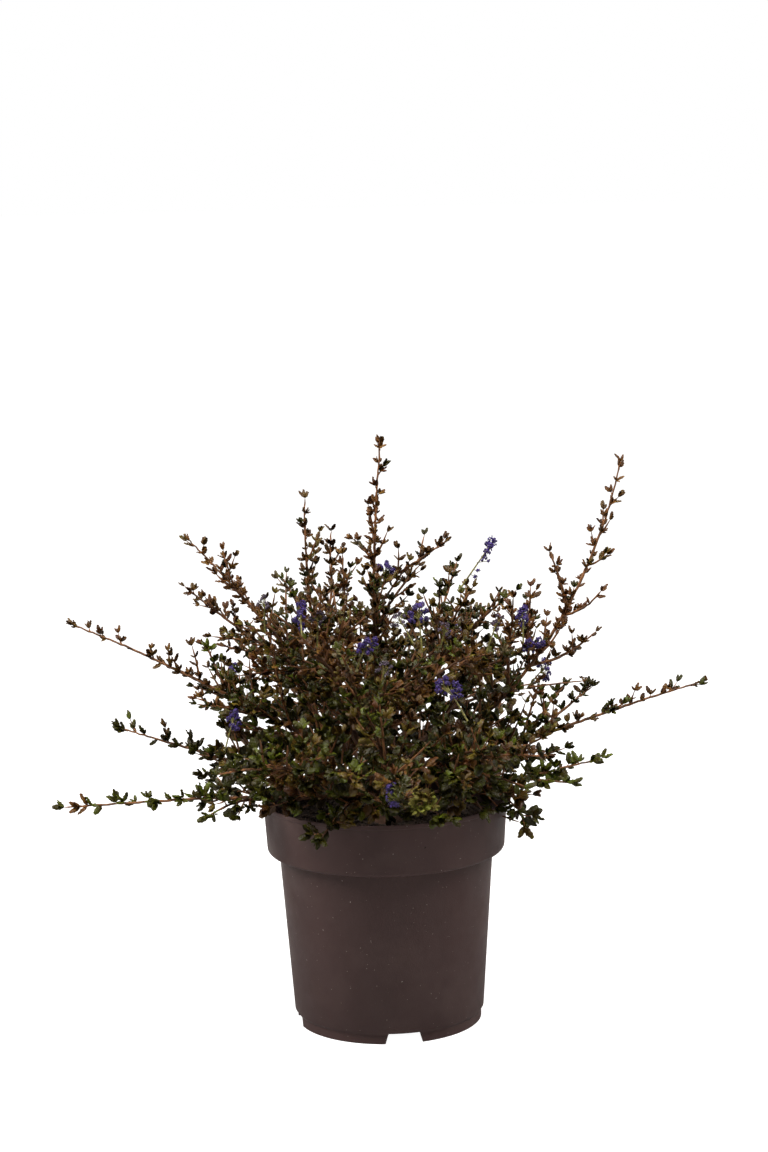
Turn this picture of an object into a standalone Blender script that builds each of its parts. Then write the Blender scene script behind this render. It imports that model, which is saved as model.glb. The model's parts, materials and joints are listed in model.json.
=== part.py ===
"""California lilac in a nursery pot: a low evergreen shrub with long stray shoots and blue blossom.

Metres, +Z up. The origin is the middle of the pot's foot, X runs across the plant and Y from its
front to its back. The shrub is a short stem, boughs that spread from it, and on each bough one
mass of foliage: a stem that carries side shoots, laterals, leaves and blossom by a seeded rule.
"""
import math
import random

import bmesh
import bpy
import numpy as np
from mathutils import Matrix, Vector
from mathutils.bvhtree import BVHTree

# Gap between two solids that touch on the plant
GAP = 0.0003
MERGE = 0.00001

# Pot: a 3 litre nursery pot with a wide rim band and a skirt foot
POT_HEIGHT = 0.1768
RIM_RADIUS = 0.0950
BAND_HEIGHT = 0.0406
BAND_FOOT_RADIUS = 0.0919
BAND_ROUNDING = 0.0025
BODY_TOP_RADIUS = 0.0827
BODY_FOOT_RADIUS = 0.0737
FOOT_RADIUS = 0.0717
FOOT_HEIGHT = 0.0070
FOOT_CHAMFER = 0.0030
FOOT_SKIRT = 0.0030
WALL = 0.0016
FLOOR_UNDERSIDE = 0.0100
POT_SIDES = 40
NOTCH_COUNT = 4
NOTCH_BEARING = -81.3
NOTCH_HEIGHT = 0.0085
NOTCH_FOOT_WIDTH = 0.0340
NOTCH_TOP_WIDTH = 0.0240
DRAIN_COUNT = 6
DRAIN_RADIUS = 0.0050
DRAIN_RING = 0.0450

# Compost, filled to a little below the rim
COMPOST_TOP = 0.1580
COMPOST_CROWN = 0.0300
COMPOST_RINGS = (0.0550, 0.0780)
COMPOST_BUMP = 0.0014

# Stem: (height above the compost, radius) from the flat cut to the swollen head, which is rounded
# between its low and its high middle and over its top
STEM_PROFILE = ((0.0, 0.0125), (0.002, 0.0104), (0.006, 0.0083), (0.010, 0.0082))
STEM_LEAN = 0.04
HEAD_LOW = 0.015
HEAD_HIGH = 0.028
HEAD_RADIUS = 0.0093
HEAD_PITCHES = (0.0, 25.0, 50.0, 68.0, 82.0)
HEAD_CLEARANCE = 0.0140
SEAT_STEP = 0.0001
STEEP = math.radians(50.0)
UPRIGHT = math.radians(85.0)

# Boughs and shoots
BOUGH_SHARE = 0.26
BOUGH_LONGEST = 0.046
BOUGH_RADIUS = 0.0020
BOUGH_POINTS = 5
SHOOT_RADIUS = 0.0016
TIP_RADIUS = 0.0007
ROOT_SHARE = 0.55
SHOOT_STEP = 0.024
SWAY = 0.010
FIRST_NODE = 0.012

# The dense part of the crown is this half ellipsoid, on the compost
DOME_CENTRE = Vector((0.0, 0.0, 0.170))
DOME_SIZE = Vector((0.142, 0.135, 0.176))

# The furthest tips bound everything that grows between them: width and depth to a side, and height
REACH = Vector((0.247, 0.234, 0.452))

# Laterals and leaves
NODE_GAP = 0.0125
LATERAL_DOME = 0.046
LATERAL_OUTER = 0.024
LATERAL_SHARE_LEFT = 0.35
LATERAL_SHORTEST = 0.008
LATERAL_STEP = 0.004
LATERAL_RADIUS = 0.0009
LATERAL_TIP = 0.0006
LATERAL_ANGLE = math.radians(52.0)
LEAF_ANGLE = math.radians(50.0)
TURN = math.radians(137.5)
LIFT = 0.30
LEAF_GAP = 0.0115
LEAF_DOME = (0.0285, 0.0180)
LEAF_OUTER = (0.0135, 0.0084)
LEAF_WIDEST = 0.52
LEAF_THICKNESS = 0.09
LEAF_PLANE = Vector((0.25, -0.20, 1.0))
LEAF_ROOT = 0.0003
LEAF_APART = 0.0032
TRIES = 5
CELL_MARGIN = 0.0022
LIMB_MARGIN = 0.0010
RIM_MARGIN = 0.0030
BLOSSOM_RADIUS = 0.0072
STALK_CHOICES = 20
STALK_RADIUS = 0.0006

# Each bough's mass: its leading shoot, then the shoots that fork from that. A shoot is the place of
# its tip, its bow as a share of its length, up being positive, and the share of the leading shoot
# at which it forks.
MASSES = {
    "top": (((0.002, 0.000, 0.450), 0.025, 0.0), ((0.050, -0.010, 0.376), -0.01, 0.57),
            ((-0.020, 0.004, 0.377), 0.04, 0.65)),
    "top_left": (((-0.055, -0.034, 0.415), -0.09, 0.0), ((-0.037, 0.016, 0.382), -0.08, 0.45),
                 ((-0.028, -0.035, 0.372), -0.06, 0.40)),
    "high_left": (((-0.146, 0.020, 0.376), 0.028, 0.0), ((-0.152, 0.035, 0.338), -0.02, 0.42)),
    "far_left": (((-0.236, 0.000, 0.316), 0.028, 0.0), ((-0.140, -0.045, 0.266), -0.03, 0.38)),
    "left": (((-0.206, 0.030, 0.228), -0.012, 0.0), ((-0.120, 0.062, 0.215), 0.02, 0.40)),
    "low_left": (((-0.243, -0.045, 0.184), 0.015, 0.0), ((-0.133, -0.062, 0.179), 0.06, 0.36)),
    "high_right": (((0.185, 0.010, 0.432), -0.11, 0.0), ((0.167, -0.020, 0.337), -0.08, 0.60),
                   ((0.166, 0.022, 0.298), -0.08, 0.45)),
    "crest_right": (((0.105, 0.020, 0.332), 0.10, 0.0), ((0.070, -0.020, 0.342), 0.04, 0.45)),
    "far_right": (((0.246, 0.000, 0.261), 0.012, 0.0), ((0.162, 0.015, 0.256), 0.02, 0.46)),
    "low_right": (((0.165, -0.040, 0.212), -0.02, 0.0), ((0.141, -0.046, 0.194), 0.05, 0.45),
                  ((0.105, -0.050, 0.163), 0.16, 0.50)),
    "front_low": (((-0.048, -0.108, 0.171), 0.10, 0.0), ((0.048, -0.106, 0.184), 0.06, 0.42)),
    "front_left": (((-0.120, -0.150, 0.232), 0.05, 0.0), ((-0.062, -0.122, 0.236), 0.04, 0.34)),
    "front_right": (((0.118, -0.150, 0.240), 0.05, 0.0), ((0.078, -0.102, 0.236), 0.04, 0.34)),
    "front": (((0.012, -0.233, 0.226), 0.06, 0.0), ((-0.012, -0.118, 0.268), 0.03, 0.28)),
    "front_top": (((-0.030, -0.100, 0.308), 0.03, 0.0), ((0.040, -0.084, 0.308), 0.03, 0.42)),
    "back_top": (((0.030, 0.098, 0.312), 0.03, 0.0), ((-0.042, 0.092, 0.306), 0.03, 0.42)),
    "back": (((-0.010, 0.233, 0.252), 0.05, 0.0), ((0.020, 0.126, 0.236), 0.03, 0.36)),
    "back_left": (((-0.128, 0.150, 0.280), 0.03, 0.0), ((-0.085, 0.116, 0.232), 0.03, 0.40)),
    "back_right": (((0.126, 0.152, 0.284), 0.03, 0.0), ((0.118, 0.078, 0.246), 0.03, 0.40)),
    "back_low": (((0.075, 0.150, 0.192), 0.06, 0.0), ((-0.050, 0.128, 0.190), 0.06, 0.42)),
}

# Blossom that shows from a step away
BLOSSOMS = ((0.082, -0.030, 0.372), (-0.062, -0.060, 0.331), (-0.012, -0.090, 0.312),
            (0.025, -0.070, 0.331), (0.103, -0.040, 0.323), (0.112, -0.045, 0.300),
            (0.044, -0.110, 0.283), (-0.113, -0.060, 0.250), (0.005, -0.115, 0.207),
            (-0.088, -0.030, 0.336), (0.060, 0.110, 0.285), (-0.052, 0.115, 0.272),
            (0.128, 0.060, 0.262), (-0.118, 0.070, 0.262), (0.005, 0.060, 0.344))

COLOURS = {
    "pot": ((0.046, 0.036, 0.034), 0.55),
    "compost": ((0.020, 0.013, 0.009), 0.95),
    "bark": ((0.150, 0.062, 0.028), 0.70),
    "foliage": ((0.036, 0.040, 0.017), 0.60),
}


def new_collection(name):
    collection = bpy.data.collections.new(name)
    bpy.context.scene.collection.children.link(collection)
    return collection


def material(name, finish):
    colour, roughness = COLOURS[finish]
    made = bpy.data.materials.new(name)
    made.use_nodes = True
    shader = made.node_tree.nodes["Principled BSDF"]
    shader.inputs["Base Color"].default_value = (*colour, 1.0)
    shader.inputs["Roughness"].default_value = roughness
    shader.inputs["Metallic"].default_value = 0.0
    return made


def add_object(name, data, collection, finish=None):
    obj = bpy.data.objects.new(name, data)
    collection.objects.link(obj)
    if finish:
        data.materials.append(material(name + "_finish", finish))
    return obj


def mesh_from_bmesh(name, bm):
    mesh = bpy.data.meshes.new(name)
    bm.to_mesh(mesh)
    bm.free()
    return mesh


def evaluated_mesh(obj):
    """The mesh that an object's modifiers or curve settings give it."""
    graph = bpy.context.evaluated_depsgraph_get()
    graph.update()
    return bpy.data.meshes.new_from_object(obj.evaluated_get(graph))


def weld(mesh):
    bm = bmesh.new()
    bm.from_mesh(mesh)
    bmesh.ops.remove_doubles(bm, verts=bm.verts, dist=MERGE)
    bmesh.ops.recalc_face_normals(bm, faces=bm.faces)
    bm.to_mesh(mesh)
    bm.free()


def smooth(mesh, angle):
    mesh.shade_smooth()
    mesh.set_sharp_from_angle(angle=math.radians(angle))


def turned(name, profile, collection, finish):
    """A profile of (radius, height) pairs, run down its outer side, turned about Z."""
    bm = bmesh.new()
    verts = [bm.verts.new((radius, 0.0, height)) for radius, height in profile]
    for first, second in zip(verts, verts[1:]):
        bm.edges.new((first, second))
    obj = add_object(name, mesh_from_bmesh(name, bm), collection, finish)
    screw = obj.modifiers.new("turn", "SCREW")
    screw.steps = POT_SIDES
    screw.render_steps = POT_SIDES
    screw.use_merge_vertices = True
    screw.merge_threshold = MERGE
    return obj


def tube(name, points, radii, collection, section):
    """A tapering tube along points, as a closed mesh; section is a bevel resolution or a curve."""
    curve = bpy.data.curves.new(name, "CURVE")
    curve.dimensions = "3D"
    curve.use_fill_caps = True
    if isinstance(section, int):
        curve.bevel_depth = 1.0
        curve.bevel_resolution = section
    else:
        curve.bevel_mode = "OBJECT"
        curve.bevel_object = section
    spline = curve.splines.new("POLY")
    spline.points.add(len(points) - 1)
    for point, place, radius in zip(spline.points, points, radii):
        point.co = (*place, 1.0)
        point.radius = radius
    drawn = add_object(name + "_line", curve, collection)
    bpy.context.view_layer.update()
    mesh = evaluated_mesh(drawn)
    mesh.name = name
    weld(mesh)
    placed = drawn.matrix_world.copy()
    bpy.data.objects.remove(drawn)
    bpy.data.curves.remove(curve)
    obj = add_object(name, mesh, collection)
    obj.matrix_world = placed
    return obj


def spike(name, root, end, radii, collection):
    """A straight three-sided twig from root to end, with a radius for each."""
    bm = bmesh.new()
    along = end - root
    bmesh.ops.create_cone(bm, cap_ends=True, segments=3, radius1=radii[0], radius2=radii[1],
                          depth=along.length)
    obj = add_object(name, mesh_from_bmesh(name, bm), collection)
    turn = along.to_track_quat("Z", "Y").to_matrix().to_4x4()
    obj.matrix_world = Matrix.Translation((root + end) / 2) @ turn
    return obj


def twig_section(collection):
    """A triangle of unit radius, the section of shoots and laterals."""
    curve = bpy.data.curves.new("twig_section", "CURVE")
    spline = curve.splines.new("POLY")
    spline.points.add(2)
    spline.use_cyclic_u = True
    for corner, point in enumerate(spline.points):
        angle = 2.0 * math.pi * corner / 3.0
        point.co = (math.cos(angle), math.sin(angle), 0.0, 1.0)
    obj = add_object("twig_section", curve, collection)
    obj.hide_render = True
    obj.display_type = "WIRE"
    return obj


# The pot and its compost

def pot_profile():
    band_foot = POT_HEIGHT - BAND_HEIGHT
    chamfer_top = FOOT_HEIGHT + FOOT_CHAMFER
    floor_top = FLOOR_UNDERSIDE + WALL
    return (
        (0.0, floor_top),
        (BODY_FOOT_RADIUS - WALL, floor_top),
        (BODY_TOP_RADIUS - WALL, band_foot + WALL),
        (BAND_FOOT_RADIUS - WALL, band_foot + BAND_ROUNDING),
        (RIM_RADIUS - WALL, POT_HEIGHT),
        (RIM_RADIUS, POT_HEIGHT),
        (BAND_FOOT_RADIUS, band_foot + BAND_ROUNDING),
        (BAND_FOOT_RADIUS - BAND_ROUNDING, band_foot),
        (BODY_TOP_RADIUS, band_foot),
        (BODY_FOOT_RADIUS, chamfer_top),
        (FOOT_RADIUS, FOOT_HEIGHT),
        (FOOT_RADIUS, 0.0),
        (FOOT_RADIUS - FOOT_SKIRT, 0.0),
        (FOOT_RADIUS - FOOT_SKIRT, FLOOR_UNDERSIDE),
        (0.0, FLOOR_UNDERSIDE),
    )


def notch_cutter(bearing, cutters):
    """A wedge-sided block that cuts one drainage notch through the foot skirt."""
    depth = 4.0 * FOOT_SKIRT
    bm = bmesh.new()
    bmesh.ops.create_cube(bm, size=1.0)
    for vert in bm.verts:
        width = NOTCH_TOP_WIDTH if vert.co.z > 0.0 else NOTCH_FOOT_WIDTH
        vert.co.x *= depth
        vert.co.y *= width
        vert.co.z = NOTCH_HEIGHT if vert.co.z > 0.0 else -NOTCH_HEIGHT
    cutter = add_object("notch_cutter", mesh_from_bmesh("notch_cutter", bm), cutters)
    turn = Matrix.Rotation(math.radians(bearing), 4, "Z")
    cutter.matrix_world = turn @ Matrix.Translation((FOOT_RADIUS, 0.0, 0.0))
    return cutter


def drain_cutter(bearing, cutters):
    bm = bmesh.new()
    bmesh.ops.create_cone(bm, cap_ends=True, segments=8, radius1=DRAIN_RADIUS, radius2=DRAIN_RADIUS,
                          depth=6.0 * WALL)
    cutter = add_object("drain_cutter", mesh_from_bmesh("drain_cutter", bm), cutters)
    turn = Matrix.Rotation(math.radians(bearing), 4, "Z")
    cutter.matrix_world = turn @ Matrix.Translation((DRAIN_RING, 0.0, FLOOR_UNDERSIDE + WALL / 2.0))
    return cutter


def make_pot(plant, cutters):
    pot = turned("pot", pot_profile(), plant, "pot")
    holes = bpy.data.collections.new("pot_holes")
    cutters.children.link(holes)
    for number in range(NOTCH_COUNT):
        notch_cutter(NOTCH_BEARING + number * 360.0 / NOTCH_COUNT, holes)
    for number in range(DRAIN_COUNT):
        drain_cutter(number * 360.0 / DRAIN_COUNT, holes)
    for cutter in holes.objects:
        cutter.hide_render = True
        cutter.display_type = "WIRE"
    cut = pot.modifiers.new("holes", "BOOLEAN")
    cut.operation = "DIFFERENCE"
    cut.operand_type = "COLLECTION"
    cut.collection = holes
    cut.solver = "EXACT"
    smooth(pot.data, 30.0)
    return pot


def compost_profile():
    """The fill, clear of the pot's wall all the way down, level in the middle."""
    band_foot = POT_HEIGHT - BAND_HEIGHT
    clear = WALL + GAP
    slope = (RIM_RADIUS - BAND_FOOT_RADIUS) / (BAND_HEIGHT - BAND_ROUNDING)
    edge = BAND_FOOT_RADIUS + slope * (COMPOST_TOP - band_foot - BAND_ROUNDING) - clear - GAP
    return (
        (0.0, COMPOST_TOP),
        (COMPOST_CROWN, COMPOST_TOP),
        *((radius, COMPOST_TOP) for radius in COMPOST_RINGS),
        (edge, COMPOST_TOP),
        (BAND_FOOT_RADIUS - clear, band_foot + BAND_ROUNDING + GAP),
        (BODY_TOP_RADIUS - clear, band_foot + WALL + 2.0 * GAP),
        (BODY_FOOT_RADIUS - clear, FLOOR_UNDERSIDE + WALL + GAP),
        (0.0, FLOOR_UNDERSIDE + WALL + GAP),
    )


def make_compost(plant):
    """The fill turned, then its top roughened outside the level middle that the stem stands on."""
    turned_fill = turned("compost_fill", compost_profile(), plant, None)
    mesh = evaluated_mesh(turned_fill)
    bpy.data.objects.remove(turned_fill)
    draw = random.Random("compost")
    for vert in mesh.vertices:
        rough = COMPOST_CROWN + MERGE < vert.co.xy.length < COMPOST_RINGS[-1] + MERGE
        if vert.co.z > COMPOST_TOP - GAP and rough:
            vert.co.z += draw.uniform(-COMPOST_BUMP, COMPOST_BUMP)
    return add_object("compost", mesh, plant, "compost")


# The stem

STEM_FOOT = COMPOST_TOP + GAP


def stem_axis(height):
    """The stem's middle at a height above the compost; it stands upright at its foot."""
    return Vector((STEM_LEAN * max(0.0, height - STEM_PROFILE[1][0]), 0.0, STEM_FOOT + height))


def head_middle(pitch):
    """The height of the middle that the head is rounded about, towards a pitch."""
    return HEAD_LOW + min(1.0, pitch / STEEP) * (HEAD_HIGH - HEAD_LOW)


def head_place(out, pitch, radius):
    """A place on or over the head, at a pitch above the level direction out."""
    normal = math.cos(pitch) * out + math.sin(pitch) * Vector((0.0, 0.0, 1.0))
    return stem_axis(head_middle(pitch)) + radius * normal


def make_stem(plant):
    rings = list(STEM_PROFILE)
    for degrees in HEAD_PITCHES:
        pitch = math.radians(degrees)
        height = head_middle(pitch) + HEAD_RADIUS * math.sin(pitch)
        rings.append((height, HEAD_RADIUS * math.cos(pitch)))
    points = [stem_axis(height) for height, _ in rings]
    stem = tube("stem", points, [radius for _, radius in rings], plant, 5)
    stem.data.materials.append(material("stem_finish", "bark"))
    smooth(stem.data, 40.0)
    return stem


# The shoots and their spaces

def clear_of(surface, place):
    """The signed distance of a place from a closed surface."""
    nearest, normal, _, distance = surface.find_nearest(place)
    return math.copysign(distance, (place - nearest).dot(normal))


def foot_ring(shoot):
    """The rim of a shoot's foot, square to its first run, and the middle of the foot."""
    foot = shoot.way(0.0)
    along = shoot.way(BOUGH_LONGEST / (BOUGH_POINTS - 1) / shoot.length) - foot
    across = along.orthogonal().normalized()
    other = along.cross(across).normalized()
    ring = [foot]
    for number in range(12):
        angle = math.radians(30.0 * number)
        ring.append(foot + BOUGH_RADIUS * (math.cos(angle) * across + math.sin(angle) * other))
    return ring


def leading_shoot(name, tip, bow, head):
    """A shoot whose foot is seated on the stem's head: low for a low tip, on top for a steep one."""
    out = Vector((tip.x, tip.y, 0.0))
    pitch = math.atan2(tip.z - stem_axis(HEAD_HIGH).z, out.length)
    if pitch < UPRIGHT:
        pitch = min(STEEP, max(0.0, pitch + math.atan(4.0 * bow)))
    out.normalize()
    seat = HEAD_RADIUS - GAP
    while True:
        shoot = Shoot(name, head_place(out, pitch, seat), tip, bow, BOUGH_RADIUS)
        if min(clear_of(head, place) for place in foot_ring(shoot)) > GAP:
            return shoot
        seat += SEAT_STEP


def bowed(start, tip, bow, seed):
    """A shoot as a function of its share of length: bowed between its ends and swaying a little."""
    chord = tip - start
    side = chord.cross(Vector((0.0, 0.0, 1.0)))
    if side.length < 0.1 * chord.length:
        side = Vector((0.0, -1.0, 0.0))
    side.normalize()
    rise = side.cross(chord).normalized()
    phase = random.Random(seed).uniform(0.0, 2.0 * math.pi)

    def place(share):
        hump = 4.0 * share * (1.0 - share)
        wave = SWAY * math.sin(3.0 * math.pi * share + phase)
        return start + chord * share + chord.length * hump * (bow * rise + wave * side)

    return place


class Shoot:
    """One shoot of a mass: its way, its length and its radius along the way."""

    def __init__(self, name, start, tip, bow, first_radius):
        self.way = bowed(start, tip, bow, name)
        self.length = (tip - start).length
        self.first_radius = first_radius

    def radius(self, share):
        return self.first_radius + (TIP_RADIUS - self.first_radius) * share

    def direction(self, share):
        ahead = min(1.0, share + 0.02)
        return (self.way(ahead) - self.way(ahead - 0.04)).normalized()

    def points(self, first, last=1.0, step=SHOOT_STEP):
        count = max(3, round(self.length * (last - first) / step) + 1)
        shares = [first + (last - first) * number / (count - 1) for number in range(count)]
        return [self.way(share) for share in shares], [self.radius(share) for share in shares]


def plan_mass(name, head):
    """The shoots of a mass; the leading one comes first and is seated on the stem's head."""
    (tip, bow, _), *forks = MASSES[name]
    tip = Vector(tip)
    leader = leading_shoot(name, tip, bow, head)
    shoots = [leader]
    for number, (fork_tip, fork_bow, share) in enumerate(forks):
        start = leader.way(share)
        radius = min(SHOOT_RADIUS, leader.radius(share))
        shoots.append(Shoot(f"{name}_{number}", start, Vector(fork_tip), fork_bow, radius))
    return shoots


def bough_end(leader):
    """The share of the leading shoot that is the bare bough."""
    return min(BOUGH_SHARE, BOUGH_LONGEST / leader.length)


class Spaces:
    """The spaces of the masses: a place belongs to the mass whose shoots are nearest to it."""

    def __init__(self, plans):
        ends = []
        owners = []
        for owner, shoots in enumerate(plans.values()):
            for shoot in shoots:
                places = shoot.points(0.0, step=SHOOT_STEP / 2.0)[0]
                ends += list(zip(places, places[1:]))
                owners += [owner] * (len(places) - 1)
        self.owners = np.array(owners)
        self.first = np.array([tuple(first) for first, _ in ends])
        self.run = np.array([tuple(last) for _, last in ends]) - self.first
        self.run_squared = (self.run ** 2).sum(axis=1)
        self.names = list(plans)
        self.limbs = []
        for shoots in plans.values():
            leader = shoots[0]
            places, radii = leader.points(0.0, bough_end(leader), SHOOT_STEP / 3.0)
            self.limbs += [(tuple(place), radius) for place, radius in zip(places, radii)]
        self.limb_places = np.array([place for place, _ in self.limbs])
        self.limb_radii = np.array([radius for _, radius in self.limbs])

    def room(self, name, place):
        """How far inside its own mass's space a place lies; negative is outside."""
        away = np.array(tuple(place)) - self.first
        share = np.clip((away * self.run).sum(axis=1) / self.run_squared, 0.0, 1.0)
        distance = np.linalg.norm(away - share[:, None] * self.run, axis=1)
        own = self.owners == self.names.index(name)
        return distance[~own].min() - distance[own].min()

    def clear_of_limbs(self, place, reach):
        away = np.linalg.norm(self.limb_places - np.array(tuple(place)), axis=1)
        if (away < self.limb_radii + SHOOT_STEP / 6.0 + reach + LIMB_MARGIN).any():
            return False
        radius = math.hypot(place.x, place.y)
        if radius < HEAD_CLEARANCE + reach and place.z < STEM_FOOT + HEAD_HIGH + HEAD_RADIUS + reach:
            return False
        if radius < RIM_RADIUS + RIM_MARGIN + reach:
            over_rim = radius > BAND_FOOT_RADIUS - WALL - RIM_MARGIN - reach
            lowest = POT_HEIGHT if over_rim else COMPOST_TOP + COMPOST_BUMP
            return place.z > lowest + RIM_MARGIN + reach
        return True

    def holds(self, name, places, reach=0.0):
        return all(self.room(name, place) > CELL_MARGIN + 2.0 * reach
                   and self.clear_of_limbs(place, reach) for place in places)


def inside_dome(place):
    away = place - DOME_CENTRE
    return sum((away[axis] / DOME_SIZE[axis]) ** 2 for axis in range(3)) < 1.0


def within_reach(place):
    return abs(place.x) < REACH.x and abs(place.y) < REACH.y and place.z < REACH.z


# The seeded rule by which a mass grows

class Mass:
    """A mass of foliage in the making: pieces that overlap at their roots, to be fused."""

    def __init__(self, name, shoots, spaces, section):
        self.name = name
        self.shoots = shoots
        self.spaces = spaces
        self.section = section
        self.draw = random.Random("growth of " + name)
        self.pieces = new_collection(name + "_pieces")
        self.taken = []

    def grow(self, plant):
        """The mass's stem, as an object of the plant, and all the pieces to be fused to it."""
        leader = self.shoots[0]
        first = bough_end(leader)
        start = first + 1.5 * GAP / leader.length
        places, radii = leader.points(start)
        stem = tube(self.name + "_growth", places, radii, plant, self.section)
        self.along(leader, first + FIRST_NODE / leader.length)
        for shoot in self.shoots[1:]:
            places, radii = shoot.points(0.0)
            radii[0] *= ROOT_SHARE
            tube(self.name + "_fork", places, radii, self.pieces, self.section)
            self.along(shoot, FIRST_NODE / shoot.length)
        return stem

    def along(self, shoot, first):
        """Laterals and leaves at the nodes of a shoot, turned on from node to node."""
        nodes = max(2, round(shoot.length * (1.0 - first) / NODE_GAP))
        turn = self.draw.uniform(0.0, 2.0 * math.pi)
        for node in range(nodes):
            share = first + (1.0 - first) * node / nodes
            turn += TURN
            ahead = shoot.direction(share)
            place = shoot.way(share)
            left = shoot.length * (1.0 - share)
            longest = LATERAL_DOME if inside_dome(place) else LATERAL_OUTER
            length = min(longest, LATERAL_SHARE_LEFT * left + LATERAL_STEP)
            length *= self.draw.uniform(0.6, 1.1)
            grown = False
            if node % 2 == 0:
                grown = self.lateral(place, ahead, turn, length, shoot.radius(share))
            if not grown:
                self.turning_leaf(place, ahead, turn)
        self.leaf(shoot.way(1.0), shoot.direction(1.0))

    def turning_leaf(self, root, ahead, turn):
        """A leaf at a node, turned on until it finds room."""
        for number in range(TRIES):
            if self.leaf(root, self.turned_out(ahead, turn + number * TURN, LEAF_ANGLE)):
                return True
        return False

    def turned_out(self, ahead, turn, angle):
        across = ahead.orthogonal().normalized()
        around = across * math.cos(turn) + ahead.cross(across) * math.sin(turn)
        out = ahead * math.cos(angle) + around * math.sin(angle)
        out.z += LIFT
        return out.normalized()

    def free(self, places):
        """Whether places keep apart from what the mass already holds."""
        return all((place - other).length > LEAF_APART for place in places for other in self.taken)

    def lateral(self, place, ahead, turn, length, radius):
        """The longer of a few side twigs, each turned on from the last."""
        best = None
        for number in range(TRIES):
            out = self.turned_out(ahead, turn + number * TURN, LATERAL_ANGLE)
            reached = self.lateral_reach(place, out, length)
            if best is None or reached > best[0]:
                best = (reached, out)
        reached, out = best
        if reached < LATERAL_SHORTEST:
            return False
        end = place + out * reached
        radii = (min(LATERAL_RADIUS, ROOT_SHARE * radius), LATERAL_TIP)
        spike(self.name + "_lateral", place, end, radii, self.pieces)
        count = max(1, round(reached / LEAF_GAP))
        turn = self.draw.uniform(0.0, 2.0 * math.pi)
        for number in range(1, count):
            turn += TURN
            self.turning_leaf(place + out * (reached * number / count), out, turn)
        self.leaf(end, out)
        steps = round(reached / LEAF_APART)
        self.taken += [place + out * (reached * number / steps) for number in range(2, steps)]
        return True

    def lateral_reach(self, place, out, length):
        """How far a side twig gets before it would leave the space, the dome or the reach."""
        starts_inside = inside_dome(place)
        reached = 0.0
        while reached + LATERAL_STEP <= length:
            ahead = place + out * (reached + LATERAL_STEP)
            if starts_inside and not inside_dome(ahead):
                break
            if not within_reach(ahead) or not self.spaces.holds(self.name, [ahead], 0.001):
                break
            if not self.free([ahead]):
                break
            reached += LATERAL_STEP
        return reached

    def leaf(self, root, out):
        """A leaf of four faces, folded along its rib, whose root is sunk in its twig."""
        length, width = LEAF_DOME if inside_dome(root) else LEAF_OUTER
        scale = self.draw.uniform(0.8, 1.12)
        length *= scale
        width *= scale
        tilt = self.draw.uniform(-1.0, 1.0)
        across = out.cross(LEAF_PLANE).normalized()
        across = (across + tilt * out.cross(across)).normalized()
        above = out.cross(across)
        begin = root - out * LEAF_ROOT
        end = begin + out * length
        middle = begin + out * (LEAF_WIDEST * length)
        corners = [end, middle + across * width / 2, middle - across * width / 2]
        if not all(within_reach(corner) for corner in corners):
            return False
        checks = corners + [(end + corner) / 2 for corner in corners[1:]]
        checks += [middle] + [begin.lerp(corner, 0.6) for corner in corners[1:]]
        if not self.spaces.holds(self.name, checks, 0.0005) or not self.free(checks):
            return False
        self.taken += checks
        fold = above * (LEAF_THICKNESS * length)
        bm = bmesh.new()
        bmesh.ops.create_cone(bm, cap_ends=True, segments=3, radius1=length, radius2=0.0, depth=length)
        bmesh.ops.remove_doubles(bm, verts=bm.verts, dist=MERGE)
        places = (begin, end, corners[1] - fold, corners[2] - fold)
        for vert, place in zip(bm.verts, places):
            vert.co = place
        bmesh.ops.recalc_face_normals(bm, faces=bm.faces)
        add_object(self.name + "_leaf", mesh_from_bmesh("leaf", bm), self.pieces)
        return True

    def blossom(self, place):
        """A rounded head of blossom on a stalk from the nearest shoot."""
        nearest = None
        for shoot in self.shoots:
            first = bough_end(shoot) + 0.02 if shoot is self.shoots[0] else 0.10
            for number in range(STALK_CHOICES):
                share = first + (0.95 - first) * number / (STALK_CHOICES - 1)
                away = (shoot.way(share) - place).length
                if nearest is None or away < nearest[0]:
                    nearest = (away, shoot.way(share))
        away, root = nearest
        out = (place - root).normalized()
        spike(self.name + "_stalk", root, place, (LATERAL_RADIUS, STALK_RADIUS), self.pieces)
        bm = bmesh.new()
        bmesh.ops.create_icosphere(bm, subdivisions=1, radius=BLOSSOM_RADIUS)
        head = add_object(self.name + "_blossom", mesh_from_bmesh("blossom", bm), self.pieces)
        head.location = place


def fuse(name, growth, pieces, plant):
    """One union of a mass's stem with all its pieces, and the whole as one plain mesh."""
    union = growth.modifiers.new("union", "BOOLEAN")
    union.operation = "UNION"
    union.operand_type = "COLLECTION"
    union.collection = pieces
    union.solver = "EXACT"
    bpy.context.view_layer.update()
    mesh = evaluated_mesh(growth)
    bpy.data.objects.remove(growth)
    for piece in list(pieces.objects):
        bpy.data.objects.remove(piece)
    bpy.data.collections.remove(pieces)
    mesh.name = name
    keep_main_body(mesh)
    mesh.materials.clear()
    return add_object(name, mesh, plant, "foliage")


def keep_main_body(mesh):
    """Drop what the union left apart from the main body, be it a scrap or a sealed hollow."""
    bm = bmesh.new()
    bm.from_mesh(mesh)
    unseen = set(bm.verts)
    bodies = []
    while unseen:
        front = [unseen.pop()]
        body = list(front)
        while front:
            vert = front.pop()
            for edge in vert.link_edges:
                other = edge.other_vert(vert)
                if other in unseen:
                    unseen.remove(other)
                    front.append(other)
                    body.append(other)
        bodies.append(body)
    bodies.sort(key=len)
    for body in bodies[:-1]:
        bmesh.ops.delete(bm, geom=body, context="VERTS")
    bm.to_mesh(mesh)
    bm.free()


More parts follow.
